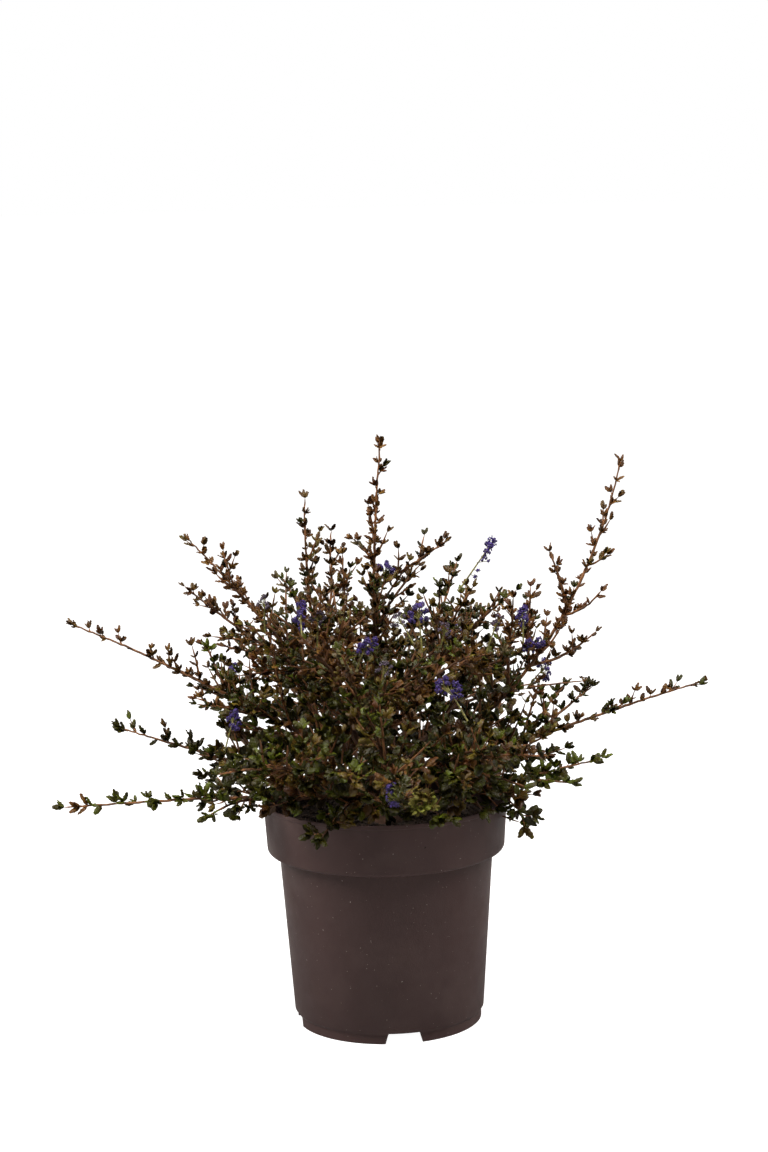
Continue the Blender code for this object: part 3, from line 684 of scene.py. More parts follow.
class Growth:
    """The seeded growth of one mass: twigs and leaves, to be joined later."""

    def __init__(self, name, shoots, crowd):
        self.name = name
        self.shoots = shoots
        self.crowd = crowd
        self.draw = random.Random("growth of " + name)
        self.lift = LIFT
        self.twigs = []
        self.leaves = []

    def free(self, place):
        lowest = LOWEST_DROOPING if self.name in DROOPING else LOWEST
        outside = math.hypot(place.x, place.y) > RIM_RADIUS
        return within_reach(place) and clear_of_pot(place) and not (outside and place.z < lowest)

    def grow(self):
        for shoot in self.shoots:
            first = BOUGH_LONGEST / shoot.length if shoot is self.shoots[0] else FIRST_NODE
            self.twigs.append(shoot)
            self.along(shoot, min(first, BOUGH_SHARE))
        if self.name == ROSETTE_MASS:
            self.rosette(metres(ROSETTE_PLACE))
        if self.name == STALK_MASS:
            self.bare_stalk(*map(metres, STALK_ENDS))

    def along(self, shoot, first):
        """Twigs and leaves at the nodes of a shoot, turned on from node to node."""
        turn = self.draw.uniform(0.0, 2.0 * math.pi)
        kind = self.leaf_kind(shoot.way(0.7))
        share = first
        while share < 1.0 - LAST_NODE_LEFT / shoot.length:
            turn += TURN
            place = shoot.way(share)
            ahead = shoot.direction(share)
            depth = depth_in_dome(place)
            self.lift = LIFT_OUTER if depth > 1.0 else LIFT
            outer = depth > 1.0 and shoot.order == 0
            if shoot.order < 2:
                self.lateral(shoot, share, place, ahead, turn)
            if outer:
                self.spur(place, ahead, turn, kind)
                if depth < THICKER_DEPTH:
                    self.spur(place, ahead, turn + 2.0 * TURN, kind)
            else:
                self.whorl(place, ahead, turn, kind)
            gap = NODE_GAP_OUTER if outer else NODE_GAP
            share += gap * self.draw.uniform(*NODE_GAP_SPREAD) / shoot.length
        self.tuft(shoot.way(1.0), shoot.direction(1.0), kind)

    def lateral(self, shoot, share, place, ahead, turn):
        """A side twig that takes the emptiest of a few ways out."""
        left = shoot.length * (1.0 - share)
        depth = depth_in_dome(place)
        if shoot.order == 0:
            longest, chance = LATERAL_DOME
            if depth > FRINGE_DEPTH or (depth > SKIN_DEPTH and place.z < LOW_FRINGE):
                longest, chance = LATERAL_OUTER
            elif depth > SKIN_DEPTH:
                longest, chance = LATERAL_FRINGE
            length = min(longest, LATERAL_LEFT[0] * left + LATERAL_LEFT[1])
            length *= self.draw.uniform(*LATERAL_SPREAD)
        else:
            length = min(FINE_LONGEST, FINE_LEFT[0] * left + FINE_LEFT[1])
            length *= self.draw.uniform(*FINE_SPREAD)
            chance = FINE_CHANCE if depth < SKIN_DEPTH else FINE_CHANCE_SKIN
        if length < TWIG_SHORTEST or self.draw.random() > chance:
            return
        least, more, power = TWIG_DEPTH
        furthest = least + more * self.draw.random() ** power
        best = None
        for number in range(TWIG_TRIES):
            out = self.turned_out(ahead, turn + number * TURN, LATERAL_ANGLE)
            path = [place + out * (length * step / 3.0) for step in (1, 2, 3)]
            if not all(self.free(spot) for spot in path):
                continue
            while depth < 1.0 and len(path) > 1 and depth_in_dome(path[-1]) > furthest:
                path = path[:-1]
            crowded = sum(self.crowd.held(spot) for spot in path) / len(path)
            if best is None or crowded < best[0]:
                best = (crowded, out, length * len(path) / 3.0)
        if best is None or best[0] > CROWD_FOR_TWIG:
            return
        _, out, length = best
        lift = self.draw.uniform(*TWIG_LIFT) * UP
        swing = out.orthogonal().normalized() * self.draw.uniform(*TWIG_SWING)

        def way(share):
            return place + out * (length * share) + (lift + swing) * (length * share * share)

        thick, thin = FINE_RADII if shoot.order else LATERAL_RADII
        if not self.free(way(1.0)):
            return
        radii = (min(thick, TWIG_THINNER * shoot.radius(share)), thin)
        twig = Shoot(way, length, radii, shoot.order + 1)
        self.twigs.append(twig)
        self.along(twig, min(FIRST_TWIG_NODE, LAST_NODE_LEFT / length))

    def turned_out(self, ahead, turn, angle):
        across = ahead.orthogonal().normalized()
        around = across * math.cos(turn) + ahead.cross(across) * math.sin(turn)
        out = ahead * math.cos(angle) + around * math.sin(angle)
        out.z += self.lift
        return out.normalized()

    def leaf_kind(self, place):
        """The colour of a spray's leaves: greens commoner low down, dark green most, which is partly their
        own hue and partly painted shade on the low crown; browns on the stray shoots.
        """
        # Low sprays mostly dark green: painted shade on the low crown as well as its greener hue
        if place.z < LOW_GREENS_AND_SHADE_BELOW and self.draw.random() < LOW_GREENS_AND_SHADE_CHANCE:
            return self.draw.choice(LOW_GREENS_AND_SHADE)
        if depth_in_dome(place) > STRAY_DEPTH and self.draw.random() < STRAY_BROWNS_CHANCE:
            return self.draw.choice(STRAY_BROWNS)
        return self.draw.choices(range(len(LEAF_KINDS)), [kind[3] for kind in LEAF_KINDS])[0]

    def leaf_size(self, place):
        """A leaf's length: longer low down in the crown, shorter on the stray shoots."""
        if depth_in_dome(place) > 1.0:
            low = how_low(place, STRAY_LOW_FROM, STRAY_LOW_FADE)
            return self.draw.uniform(*STRAY_LENGTH) * (1.0 + STRAY_LOW_LONGER * low)
        low = how_low(place, LEAF_LOW_FROM, LEAF_LOW_FADE)
        return self.draw.uniform(*LEAF_LENGTH) * (LEAF_HIGH + (LEAF_LOW - LEAF_HIGH) * low)

    def whorl(self, place, ahead, turn, kind):
        """One to three leaves round a node; few inside the crown, where no light falls."""
        depth = depth_in_dome(place)
        counts = WHORL_DARK if depth < DARK_DEPTH else WHORL_OUTER if depth > 1.0 else WHORL_DOME
        most = CROWD_MOST_LOW if place.z < CROWD_LOW else CROWD_MOST
        most = CROWD_MOST_HIGH if place.z > CROWD_HIGH else most
        for number in range(self.draw.choice(counts)):
            if depth < CROWD_DEPTH and self.crowd.held(place) > most:
                return
            angle = LEAF_ANGLE * self.draw.uniform(*WHORL_SPREAD)
            out = self.turned_out(ahead, turn + number * WHORL_TURN, angle)
            self.leaf(place, out, self.leaf_size(place), kind)

    def spur(self, place, ahead, turn, kind):
        """On a stray shoot: a bare node, a single leaf, or a short spur with a tuft at its end."""
        chance = self.draw.random()
        if chance < BARE_CHANCE:
            return
        out = self.turned_out(ahead, turn, LEAF_ANGLE * self.draw.uniform(*SPUR_ANGLE))
        if chance < SINGLE_CHANCE:
            self.leaf(place, out, self.leaf_size(place), kind)
            return
        end = place + out * self.draw.uniform(*SPUR_LENGTH)
        if self.free(end):
            self.twigs.append(straight_twig(place, end))
            self.tuft(end, out, kind, SPUR_SPREAD)

    def tuft(self, place, ahead, kind, spread=1.0):
        """The small leaves round a growing tip."""
        for number in range(self.draw.choice(TUFT_LEAVES)):
            size = TUFT_SMALLER * self.leaf_size(place)
            angle = spread * LEAF_ANGLE * self.draw.uniform(*TUFT_SPREAD)
            self.leaf(place, self.turned_out(ahead, number * TURN, angle), size, kind)

    def rosette(self, middle):
        """Young leaves close round a group of tips that look outwards."""
        self.twigs.append(straight_twig(nearest_place(self.twigs, middle), middle))
        first, step = ROSETTE_OPENING
        for number in range(ROSETTE_TIPS):
            turn = number * TURN
            ahead = Vector((0.8 * math.cos(turn), -0.8, 0.5 + 0.6 * math.sin(turn))).normalized()
            aside = Vector((math.cos(turn), 0.0, 0.8 * math.sin(turn)))
            tip = middle + aside * (ROSETTE_SPACING * math.sqrt(number))
            for leaf in range(ROSETTE_LEAVES):
                out = self.turned_out(ahead, leaf * TURN, math.radians(first + step * leaf))
                self.leaf(tip, out, ROSETTE_LEAF * self.draw.uniform(*ROSETTE_SPREAD), ROSETTE_KIND)

    def bare_stalk(self, start, end):
        """An old flower stalk, with small scales round a few places near its end."""
        self.twigs.append(straight_twig(start, end))
        for back, rise in STALK_SCALES:
            root = end.lerp(start, back / (end - start).length) + rise * 0.5 * UP
            for number in range(SCALES_ROUND):
                out = self.turned_out(UP, number * TURN, 0.7)
                self.leaf(root, out, rise * SCALE_LENGTH, SCALE_KIND)

    def leaf(self, root, out, length, kind):
        end = root + out * length
        if not self.free(end) or not clear_of_pot(root.lerp(end, 0.5)):
            return
        tilt = self.draw.uniform(*LEAF_TILT)
        across = out.cross(LEAF_PLANE).normalized()
        across = (across + tilt * out.cross(across)).normalized()
        above = out.cross(across)
        if above.z < 0.0:
            above, across = -above, -across
        breadth = STRAY_WIDTH if depth_in_dome(root) > 1.0 else LEAF_WIDTH
        width = length * self.draw.uniform(*breadth)
        self.leaves.append((root, out, across, above, length, width, kind))
        self.crowd.add(root.lerp(end, 0.5), (length / LEAF_USUAL) ** 2)


# The meshes of twigs, leaves and flowers

def tube_arrays(points, radii, sides, relief=1.0):
    """Corners and quads of a tapering tube along points; relief swells rings and sides."""
    points = np.asarray(points)
    along = np.gradient(points, axis=0)
    along /= np.linalg.norm(along, axis=1)[:, None]
    overall = points[-1] - points[0]
    spare = np.eye(3)[np.argmin(np.abs(overall))]
    across = np.cross(along, spare)
    across /= np.linalg.norm(across, axis=1)[:, None]
    other = np.cross(along, across)
    angles = (2.0 * np.pi * np.arange(sides) / sides)[None, :, None]
    rims = np.cos(angles) * across[:, None] + np.sin(angles) * other[:, None]
    size = np.asarray(radii)[:, None] * np.ones(sides)[None, :] * relief
    verts = points[:, None] + rims * size[:, :, None]
    ring = np.arange(sides)
    following = (ring + 1) % sides
    quads = []
    for low in range(0, (len(points) - 1) * sides, sides):
        high = low + sides
        quads.append(np.stack([low + ring, low + following, high + following, high + ring], axis=1))
    return verts.reshape(-1, 3), np.concatenate(quads)


def twig_arrays(shoot, draw):
    """A twig with a slight swelling at each node, its end drawn to a point, and its faces' barks."""
    main = shoot.order == 0
    count = max(3, round(shoot.length / (LEADER_STEP if main else TWIG_STEP)) + 1)
    shares = np.linspace(0.0, 1.0, count).tolist()
    points = [shoot.way(share) for share in shares]
    waver = SHOOT_WAVER if main else TWIG_WAVER
    points = [point + Vector([draw.uniform(-waver, waver) for _ in range(3)]) for point in points]
    radii = [shoot.radius(share) * draw.uniform(*SWELLING) for share in shares]
    radii[-1] *= TWIG_POINT
    sides = SHOOT_SIDES if main else TWIG_SIDES
    inside = [main and depth_in_dome(point) < SKIN_DEPTH for point in points[1:]]
    return *tube_arrays(points, radii, sides), np.repeat(np.array(inside, np.int32), sides)


def leaf_template(seed):
    """A small crinkled leaf of unit length and width: toothed, rolled under at its margins.

    Along it are stations, each with five places across: two margins, two half blades and the rib.
    """
    draw = random.Random(seed)
    droop = draw.uniform(*DROOP)
    roll = draw.uniform(*ROLL)
    broadest = draw.uniform(*BROADEST)
    places = ((1.0, -roll), (HALF_BLADE, BLADE_RISE), (0.0, 0.0), (-HALF_BLADE, BLADE_RISE), (-1.0, -roll))
    verts = [(0.0, LEAF_FOOT, 0.0), (0.0, -LEAF_FOOT, 0.0)]
    for number, share in enumerate(LEAF_STATIONS):
        swell = math.sin(math.pi * min(1.0, broadest + (LEAF_END - broadest) * share))
        half = 0.5 * swell ** LEAF_FULLNESS
        arch = -droop * share * share
        for side, lift in places:
            edge = abs(side) == 1.0
            tooth = TEETH[number % 2] + draw.uniform(*TOOTH_SPREAD) if edge else 1.0
            lean = TOOTH_LEAN if edge else 0.0
            crinkle = QUILTING[number % 2] * (abs(side) == HALF_BLADE) + draw.uniform(*CRINKLE)
            verts.append((share + lean, side * half * tooth, arch + lift * half * RISE + crinkle))
    verts.append((1.0, 0.0, -DROOP_AT_TIP * droop))
    first = 2
    faces = [(corner // 2, first + corner, first + corner + 1) for corner in range(4)]
    faces.append((0, first + 2, 1))
    for number in range(len(LEAF_STATIONS) - 1):
        for corner in range(4):
            a = first + 5 * number + corner
            faces += [(a, a + 5, a + 6), (a, a + 6, a + 1)]
    tip = len(verts) - 1
    faces += [(tip - 5 + corner, tip, tip - 4 + corner) for corner in range(4)]
    return np.array(verts), np.array(faces)


def place_leaves(joined, leaves):
    """All the leaves of one mass, each a turned and stretched copy of a template."""
    templates = [leaf_template(seed) for seed in range(LEAF_TEMPLATES)]
    for number, (root, out, across, above, length, width, kind) in enumerate(leaves):
        verts, faces = templates[number % LEAF_TEMPLATES]
        axes = np.array([tuple(out * length), tuple(across * width), tuple(above * length)])
        joined.add(verts @ axes + np.array(tuple(root)), faces, kind)


def bead_arrays():
    """A round bud or hooded floret of unit radius, opened a little at its outer end."""
    corners, faces = ball()
    for corner in corners:
        if corner.z > BEAD_TOP:
            corner.z = BEAD_MOUTH
    return np.array([tuple(corner) for corner in corners]), faces


def petal_arrays():
    """The petals that stand out round an open floret, as small bent diamonds."""
    verts = []
    faces = []
    for number in range(PETALS):
        turn = 2.0 * math.pi * number / PETALS
        base = len(verts)
        for reach, side, height in PETAL_FORM:
            verts.append((reach * math.cos(turn) - side * math.sin(turn),
                          reach * math.sin(turn) + side * math.cos(turn), height))
        faces += [(base, base + 1, base + 2), (base, base + 2, base + 3)]
    return np.array(verts), np.array(faces)


def frame_towards(out, turn):
    """Three axes as rows, the third along out."""
    across = out.orthogonal().normalized()
    other = out.cross(across)
    first = across * math.cos(turn) + other * math.sin(turn)
    return np.array([tuple(first), tuple(out.cross(first)), tuple(out)])


def nearest_place(twigs, target):
    """The place on any twig that is nearest to a target."""
    places = [twig.way(number / 5.0) for twig in twigs for number in range(1, 6)]
    return min(places, key=lambda place: (place - target).length)


def add_cluster(flowers, centre, size, count, faded, draw):
    """A small round cluster of beads, some of them open florets."""
    bead, bead_faces = bead_arrays()
    petals, petal_faces = petal_arrays()
    for number in range(count):
        height = 1.0 - FLORET_BAND * (number + 0.5) / count
        ring = math.sqrt(1.0 - height * height)
        turn = number * TURN
        out = Vector((ring * math.cos(turn), ring * math.sin(turn), height))
        place = np.array(tuple(centre + out * (size * draw.uniform(*FLORET_PLACE))))
        axes = frame_towards(out, draw.uniform(0.0, 6.0)) * FLORET * draw.uniform(*FLORET_SPREAD)
        flowers.add(bead @ axes + place, bead_faces, faded)
        if draw.random() < OPEN_CHANCE:
            flowers.add(petals @ axes + place, petal_faces, faded)


def grow_head(head, faded, twigs, flowers, stalks, draw):
    """A head of small clusters of florets, on a green stalk that rises from the nearest twig."""
    middle = metres(head)
    root = nearest_place(twigs, middle - STALK_BELOW * UP)
    lone = head == BLOSSOMS[0]
    if lone:
        root = metres(LONE_FOOT)
    rise = (middle - root) * 0.5 + UP * (0.0 if lone else STALK_RISE) * (middle - root).length
    shares = np.linspace(0.0, 1.0, STALK_POINTS).tolist()
    points = [root.lerp(root + rise, share).lerp(middle, share) for share in shares]
    stalks.add(*tube_arrays(points, np.linspace(*STALK_RADII, STALK_POINTS), STALK_SIDES))
    ahead = (middle - root).normalized()
    size = CLUSTER * draw.uniform(*(FADED_SPREAD if faded else CLUSTER_SPREAD))
    broad = Vector((middle.y, -middle.x, 0.0)).cross(ahead).cross(ahead).normalized()
    broad = (broad + Vector([draw.uniform(*ARCH_TWIST) for _ in range(3)])).normalized()
    arch = size * draw.uniform(*ARCH_REACH)
    first = draw.uniform(*ARCH_FROM)
    count = draw.choice(CLUSTERS_FADED if faded else CLUSTERS)
    for number in range(count):
        turn = math.radians(first + ARCH_ANGLE * number / count)
        centre = middle + arch * (math.sin(turn) * broad + (math.cos(turn) - ARCH_SUNK) * ahead)
        centre += Vector([draw.uniform(*CLUSTER_STRAY) * size for _ in range(3)])
        ends = [middle - ahead * arch, middle.lerp(centre, 0.5), centre]
        stalks.add(*tube_arrays(ends, [FINE_STALK_RADIUS] * 3, FINE_STALK_SIDES))
        add_cluster(flowers, centre, size * draw.uniform(*SIZE_SPREAD),
                    FLORETS_FADED if faded else FLORETS, faded, draw)
    for number in range(BUDS):
        start = points[STALK_POINTS - 2 - number]
        aside = Vector(frame_towards(ahead, 2.0 + number * TURN)[0]) * draw.uniform(*BUD_ASIDE)
        end = start + aside - BUD_DROP * UP
        if lone:
            start, end = map(metres, LONE_BUDS[number])
        ends = [start, start.lerp(end, 0.5), end]
        stalks.add(*tube_arrays(ends, [BUD_STALK_RADIUS] * 3, FINE_STALK_SIDES))
        add_cluster(flowers, end, BUD_CLUSTER, BUD_FLORETS, faded, draw)


# Materials

def finish_of(name, stops, grain, roughness, specular=0.5, relief=None):
    """A colour that varies with a noise. Grain is that noise; relief is another, and its bump."""
    made, tree, shader = new_material(name)
    tree.links.new(ramp(tree, noise(tree, *grain), stops), shader.inputs["Base Color"])
    shader.inputs["Roughness"].default_value = roughness
    shader.inputs["Specular IOR Level"].default_value = specular
    if relief:
        scale, detail, distance, strength = relief
        bump(tree, shader, noise(tree, scale, detail), distance, strength)
    return made


def leaf_material(name, colour, roughness):
    stops = ((0.34, scaled(colour, *LEAF_SHADE)), (0.52, colour), (0.70, scaled(colour, *LEAF_LIGHT)))
    return finish_of("leaf_" + name, stops, (130.0, 2.0), roughness, 0.23, (800.0, 3.0, 0.0009, 0.9))


def bark_material(name, pale, dark, roughness):
    """Bark with darker patches and a fine grain."""
    stops = ((0.34, dark), (0.62, pale), (0.80, scaled(pale, 1.35)))
    return finish_of(name, stops, (160.0, 5.0), roughness, 0.30, (1400.0, 4.0, 0.0004, 0.6))


def petal_material(name, colour):
    return finish_of(name, ((0.38, scaled(colour, 0.5)), (0.62, scaled(colour, 1.7))), (600.0, 2.0), 0.6)


def laid_over(tree, below, colour, cover):
    """A colour over another, where a value covers it."""
    mix = tree.nodes.new("ShaderNodeMix")
    mix.data_type = "RGBA"
    mix.inputs["B"].default_value = colour
    tree.links.new(below, mix.inputs["A"])
    tree.links.new(cover, mix.inputs["Factor"])
    return mix.outputs["Result"]


def pot_material():
    """Moulded taupe plastic: a fine grain, faint vertical streaks, dust and a few pale specks."""
    made, tree, shader = new_material("pot_plastic")
    base = ramp(tree, noise(tree, 14.0, 5.0, (1.0, 1.0, 0.35)), POT_TONES)
    dust = ramp(tree, noise(tree, 22.0, 6.0), ((0.50, 0.0), (0.80, 0.30)))
    specks = ramp(tree, noise(tree, 520.0, 1.0), ((0.755, 0.0), (0.795, 1.0)))
    colour = laid_over(tree, laid_over(tree, base, POT_DUST, dust), POT_SPECKS, specks)
    tree.links.new(colour, shader.inputs["Base Color"])
    rough = ramp(tree, noise(tree, 40.0, 4.0), ((0.30, 0.46), (0.70, 0.62)))
    tree.links.new(rough, shader.inputs["Roughness"])
    shader.inputs["Specular IOR Level"].default_value = 0.26
    bump(tree, shader, noise(tree, 1100.0, 2.0), 0.0004, 0.22)
    return made


# The pieces

def arc(centre, radius, first, last, steps=5):
    """Places on an arc in the profile's plane, from one angle to another in degrees."""
    angles = [math.radians(first + (last - first) * step / steps) for step in range(steps + 1)]
    return [(centre[0] + radius * math.cos(angle), centre[1] + radius * math.sin(angle))
            for angle in angles]


def pot_profile():
    """The pot's section, down its outer side from the lip, with the moulding's rounded edges."""
    band_foot = POT_HEIGHT - BAND_HEIGHT
    floor_top = FLOOR_UNDERSIDE + WALL
    foot_top = FOOT_HEIGHT + FOOT_CHAMFER
    lip = LIP_ROUNDING
    return [
        (0.0, floor_top),
        (BODY_FOOT_RADIUS - WALL, floor_top),
        (BODY_TOP_RADIUS - WALL, band_foot + WALL),
        (BAND_FOOT_RADIUS - WALL, band_foot + BAND_ROUNDING),
        *arc((RIM_RADIUS - WALL + lip, POT_HEIGHT - lip), lip, 180.0, 90.0, 3),
        *arc((RIM_RADIUS - lip, POT_HEIGHT - lip), lip, 90.0, 0.0, 3),
        (RIM_RADIUS - LIP_FOOT[0], POT_HEIGHT - LIP_FOOT[1]),
        (RIM_RADIUS - LIP_GROOVE[0], POT_HEIGHT - LIP_GROOVE[1]),
        *arc((BAND_FOOT_RADIUS - BAND_ROUNDING, band_foot + BAND_ROUNDING), BAND_ROUNDING, 0.0, -90.0),
        (BODY_TOP_RADIUS + SHOULDER[0], band_foot),
        (BODY_TOP_RADIUS, band_foot - SHOULDER[1]),
        (BODY_FOOT_RADIUS, foot_top),
        (BODY_FOOT_RADIUS - FOOT_GROOVE[0], foot_top - FOOT_GROOVE[1]),
        (FOOT_RADIUS, FOOT_HEIGHT),
        (FOOT_RADIUS, FOOT_EDGE),
        (FOOT_RADIUS - FOOT_EDGE, 0.0),
        (FOOT_RADIUS - FOOT_SKIRT, 0.0),
        (FOOT_RADIUS - FOOT_SKIRT, FLOOR_UNDERSIDE),
        (0.0, FLOOR_UNDERSIDE),
    ]


def turned(name, profile, sides):
    """A profile turned about Z, as a mesh."""
    bm = bmesh.new()
    verts = [bm.verts.new((radius, 0.0, height)) for radius, height in profile]
    edges = [bm.edges.new(pair) for pair in zip(verts, verts[1:])]
    bmesh.ops.spin(bm, geom=verts + edges, cent=(0, 0, 0), axis=(0, 0, 1), dvec=(0, 0, 0),
                   angle=2.0 * math.pi, steps=sides, use_merge=True)
    bmesh.ops.remove_doubles(bm, verts=bm.verts, dist=MERGE)
    bmesh.ops.recalc_face_normals(bm, faces=bm.faces)
    return mesh_from_bmesh(name, bm)


def cutters(holes, name, build, count, bearing, place):
    """Cutting solids at equal turns about Z, put into the collection of holes."""
    for number in range(count):
        bm = bmesh.new()
        build(bm)
        obj = bpy.data.objects.new(name, mesh_from_bmesh(name, bm))
        turn = Matrix.Rotation(math.radians(bearing + number * 360.0 / count), 4, "Z")
        obj.matrix_world = turn @ Matrix.Translation(place)
        holes.objects.link(obj)


def notch(bm):
    bmesh.ops.create_cube(bm, size=1.0)
    for vert in bm.verts:
        upper = vert.co.z > 0.0
        vert.co.x *= 4.0 * FOOT_SKIRT
        vert.co.y *= NOTCH_TOP_WIDTH if upper else NOTCH_FOOT_WIDTH
        vert.co.z = NOTCH_HEIGHT if upper else -NOTCH_HEIGHT


def drain(bm):
    bmesh.ops.create_cone(bm, cap_ends=True, segments=24, radius1=DRAIN_RADIUS, radius2=DRAIN_RADIUS,
                          depth=6.0 * WALL)


def make_pot():
    holes = bpy.data.collections.new("pot_holes")
    bpy.context.scene.collection.children.link(holes)
    cutters(holes, "notch", notch, NOTCH_COUNT, NOTCH_BEARING, (FOOT_RADIUS, 0.0, 0.0))
    cutters(holes, "drain", drain, DRAIN_COUNT, 0.0, (DRAIN_RING, 0.0, FLOOR_UNDERSIDE + WALL / 2.0))
    raw = linked("pot_raw", turned("pot_raw", pot_profile(), POT_SIDES))
    cut = raw.modifiers.new("holes", "BOOLEAN")
    cut.operand_type = "COLLECTION"
    cut.collection = holes
    cut.solver = "EXACT"
    graph = bpy.context.evaluated_depsgraph_get()
    graph.update()
    mesh = bpy.data.meshes.new_from_object(raw.evaluated_get(graph))
    mesh.name = "moulded_pot"
    for obj in [raw, *holes.objects]:
        bpy.data.objects.remove(obj)
    bpy.data.collections.remove(holes)
    mesh.materials.clear()
    mesh.shade_smooth()
    mesh.set_sharp_from_angle(angle=POT_CREASE)
    piece("moulded_pot", mesh, [pot_material()], ["pot"])


def compost_radius():
    """The radius of the fill's face, within the pot's band."""
    band_foot = POT_HEIGHT - BAND_HEIGHT + BAND_ROUNDING
    slope = (RIM_RADIUS - BAND_FOOT_RADIUS) / (POT_HEIGHT - band_foot)
    return BAND_FOOT_RADIUS + slope * (COMPOST_TOP - band_foot) - WALL - COMPOST_GAP


def compost_face(edge, draw):
    """A disc of small swells, level round the stem."""
    swells = [[draw.uniform(-1.0, 1.0) for _ in range(5)] for _ in range(SWELLS)]

    def height(x, y):
        total = 0.0
        for number, (a, b, c, d, _) in enumerate(swells):
            pitch = SWELL_PITCH + SWELL_FINER * number
            total += c * math.sin(pitch * (x * a + y * b) + 9.0 * d) / (2.2 + 0.55 * number)
        return SWELL_HEIGHT * total + draw.uniform(*SWELL_ROUGHNESS)

    points = [(0.0, 0.0, COMPOST_TOP)]
    sides = COMPOST_SIDES
    for ring in range(1, COMPOST_RINGS + 1):
        radius = edge * ring / COMPOST_RINGS
        calm = min(1.0, max(0.0, (radius - CALM_RADIUS) / CALM_FADE))
        for side in range(sides):
            turn = 2.0 * math.pi * (side + 0.5 * (ring % 2)) / sides
            x, y = radius * math.cos(turn), radius * math.sin(turn)
            points.append((x, y, COMPOST_TOP - COMPOST_SUNK + calm * height(x, y)))
    faces = []
    for low in range(1, 1 + (COMPOST_RINGS - 1) * sides, sides):
        high = low + sides
        for side in range(sides):
            following = (side + 1) % sides
            faces.append((low + side, high + side, high + following))
            faces.append((low + side, high + following, low + following))
    faces += [(0, 1 + side, 1 + (side + 1) % sides) for side in range(sides)]
    return np.array(points), np.array(faces)


def crumb(edge, draw):
    """A loose crumb or a bit of bark that lies on the compost."""
    radius = edge * math.sqrt(draw.uniform(*CRUMB_RING))
    turn = draw.uniform(0.0, 2.0 * math.pi)
    size = draw.uniform(*CRUMB_SIZE)
    long = draw.choice(CRUMB_LENGTHS)
    spin = Matrix.Rotation(draw.uniform(0.0, math.pi), 3, "Z")
    tip = Matrix.Rotation(draw.uniform(-0.6, 0.6), 3, "X")
    centre = Vector((radius * math.cos(turn), radius * math.sin(turn), COMPOST_TOP + 0.2 * size))
    rounds, faces = ball()
    corners = []
    for corner in rounds:
        shaped = corner * draw.uniform(0.7, 1.15)
        shaped = Vector((shaped.x * size * long, shaped.y * size, shaped.z * size * 0.7))
        corners.append(tuple(centre + spin @ (tip @ shaped)))
    return np.array(corners), faces


def make_compost():
    """The fill with a crumbled top, and loose crumbs and bits of bark on it."""
    draw = random.Random("compost")
    joined = Joined()
    edge = compost_radius()
    joined.add(*compost_face(edge, draw))
    for _ in range(CRUMBS):
        joined.add(*crumb(edge, draw))
    finish = finish_of("compost_crumb", COMPOST_TONES, (420.0, 6.0), 0.95,
                       relief=(900.0, 6.0, 0.0015, 0.9))
    piece("compost_surface", joined.mesh("compost_surface"), [finish], ["compost"])


def barked_tube(points, radii, sides, depth, draw):
    """A limb with lengthwise ridges in its bark, which wander round it."""
    angles = (2.0 * np.pi * np.arange(sides) / sides)[None]
    shares = np.linspace(0.0, 1.0, len(points))[:, None]
    phase = draw.uniform(0.0, 6.0)
    ridges = 0.5 * np.sin(3.0 * angles + 2.2 * shares + phase)
    ridges = ridges + 0.35 * np.sin(5.0 * angles - 3.1 * shares + 2.0 * phase)
    rough = np.array([[draw.uniform(-1.0, 1.0) for _ in range(sides)] for _ in points])
    return tube_arrays(points, radii, sides, 1.0 + depth * (ridges + 0.45 * rough))


def make_limbs(plans):
    """The stem and the bare boughs, with the relief of their bark."""
    joined = Joined()
    draw = random.Random("limbs")
    profile = [(STEM_PROFILE[0][0] - 0.002, STEM_PROFILE[0][1] * 1.1), *STEM_PROFILE]
    for degrees in HEAD_PITCHES:
        pitch = math.radians(degrees)
        profile.append((head_middle(pitch) + HEAD_RADIUS * math.sin(pitch), HEAD_RADIUS * math.cos(pitch)))
    profile.append((profile[-1][0] + 0.0003, 0.0001))
    count, sides, depth = STEM_MESH
    levels = np.linspace(profile[0][0], profile[-1][0], count).tolist()
    radii = np.interp(levels, *zip(*profile))
    joined.add(*barked_tube([stem_axis(level) for level in levels], radii, sides, depth, draw))
    count, sides, depth = BOUGH_MESH
    for leader, *_ in plans.values():
        last = min(BOUGH_SHARE, BOUGH_LONGEST / leader.length) + BOUGH_OVERLAP
        shares = np.linspace(0.0, last, count).tolist()
        points = [leader.way(share) for share in shares]
        radii = [leader.radius(share) * (1.0 + BOUGH_FLARE * math.exp(-BOUGH_FLARE_FADE * share))
                 for share in shares]
        joined.add(*barked_tube(points, radii, sides, depth, draw))
    nodes = ["stem"] + ["bough_" + name for name in MASSES]
    bark = bark_material("old_bark", *OLD_BARK)
    piece("stem_and_boughs", joined.mesh("stem_and_boughs"), [bark], nodes)


def make_crown(plans):
    """Twigs and leaves, each kind joined by part of the crown; the twigs are given back."""
    crowd = Crowd()
    growths = {name: Growth(name, shoots, crowd) for name, shoots in plans.items()}
    for growth in growths.values():
        growth.grow()
    barks = [bark_material("young_bark", *YOUNG_BARK), bark_material("grown_bark", *GROWN_BARK)]
    leaf_materials = [leaf_material(name, colour, rough) for name, colour, rough, _ in LEAF_KINDS]
    for part, names in CROWN_PARTS.items():
        draw = random.Random("twigs of " + part)
        twigs = Joined()
        leaves = Joined()
        for name in names:
            for shoot in growths[name].twigs:
                twigs.add(*twig_arrays(shoot, draw))
            place_leaves(leaves, growths[name].leaves)
        nodes = ["foliage_" + name for name in names]
        piece("twigs_" + part, twigs.mesh("twigs_" + part), barks, nodes)
        piece("leaves_" + part, leaves.mesh("leaves_" + part), leaf_materials, nodes)
    return [twig for growth in growths.values() for twig in growth.twigs]


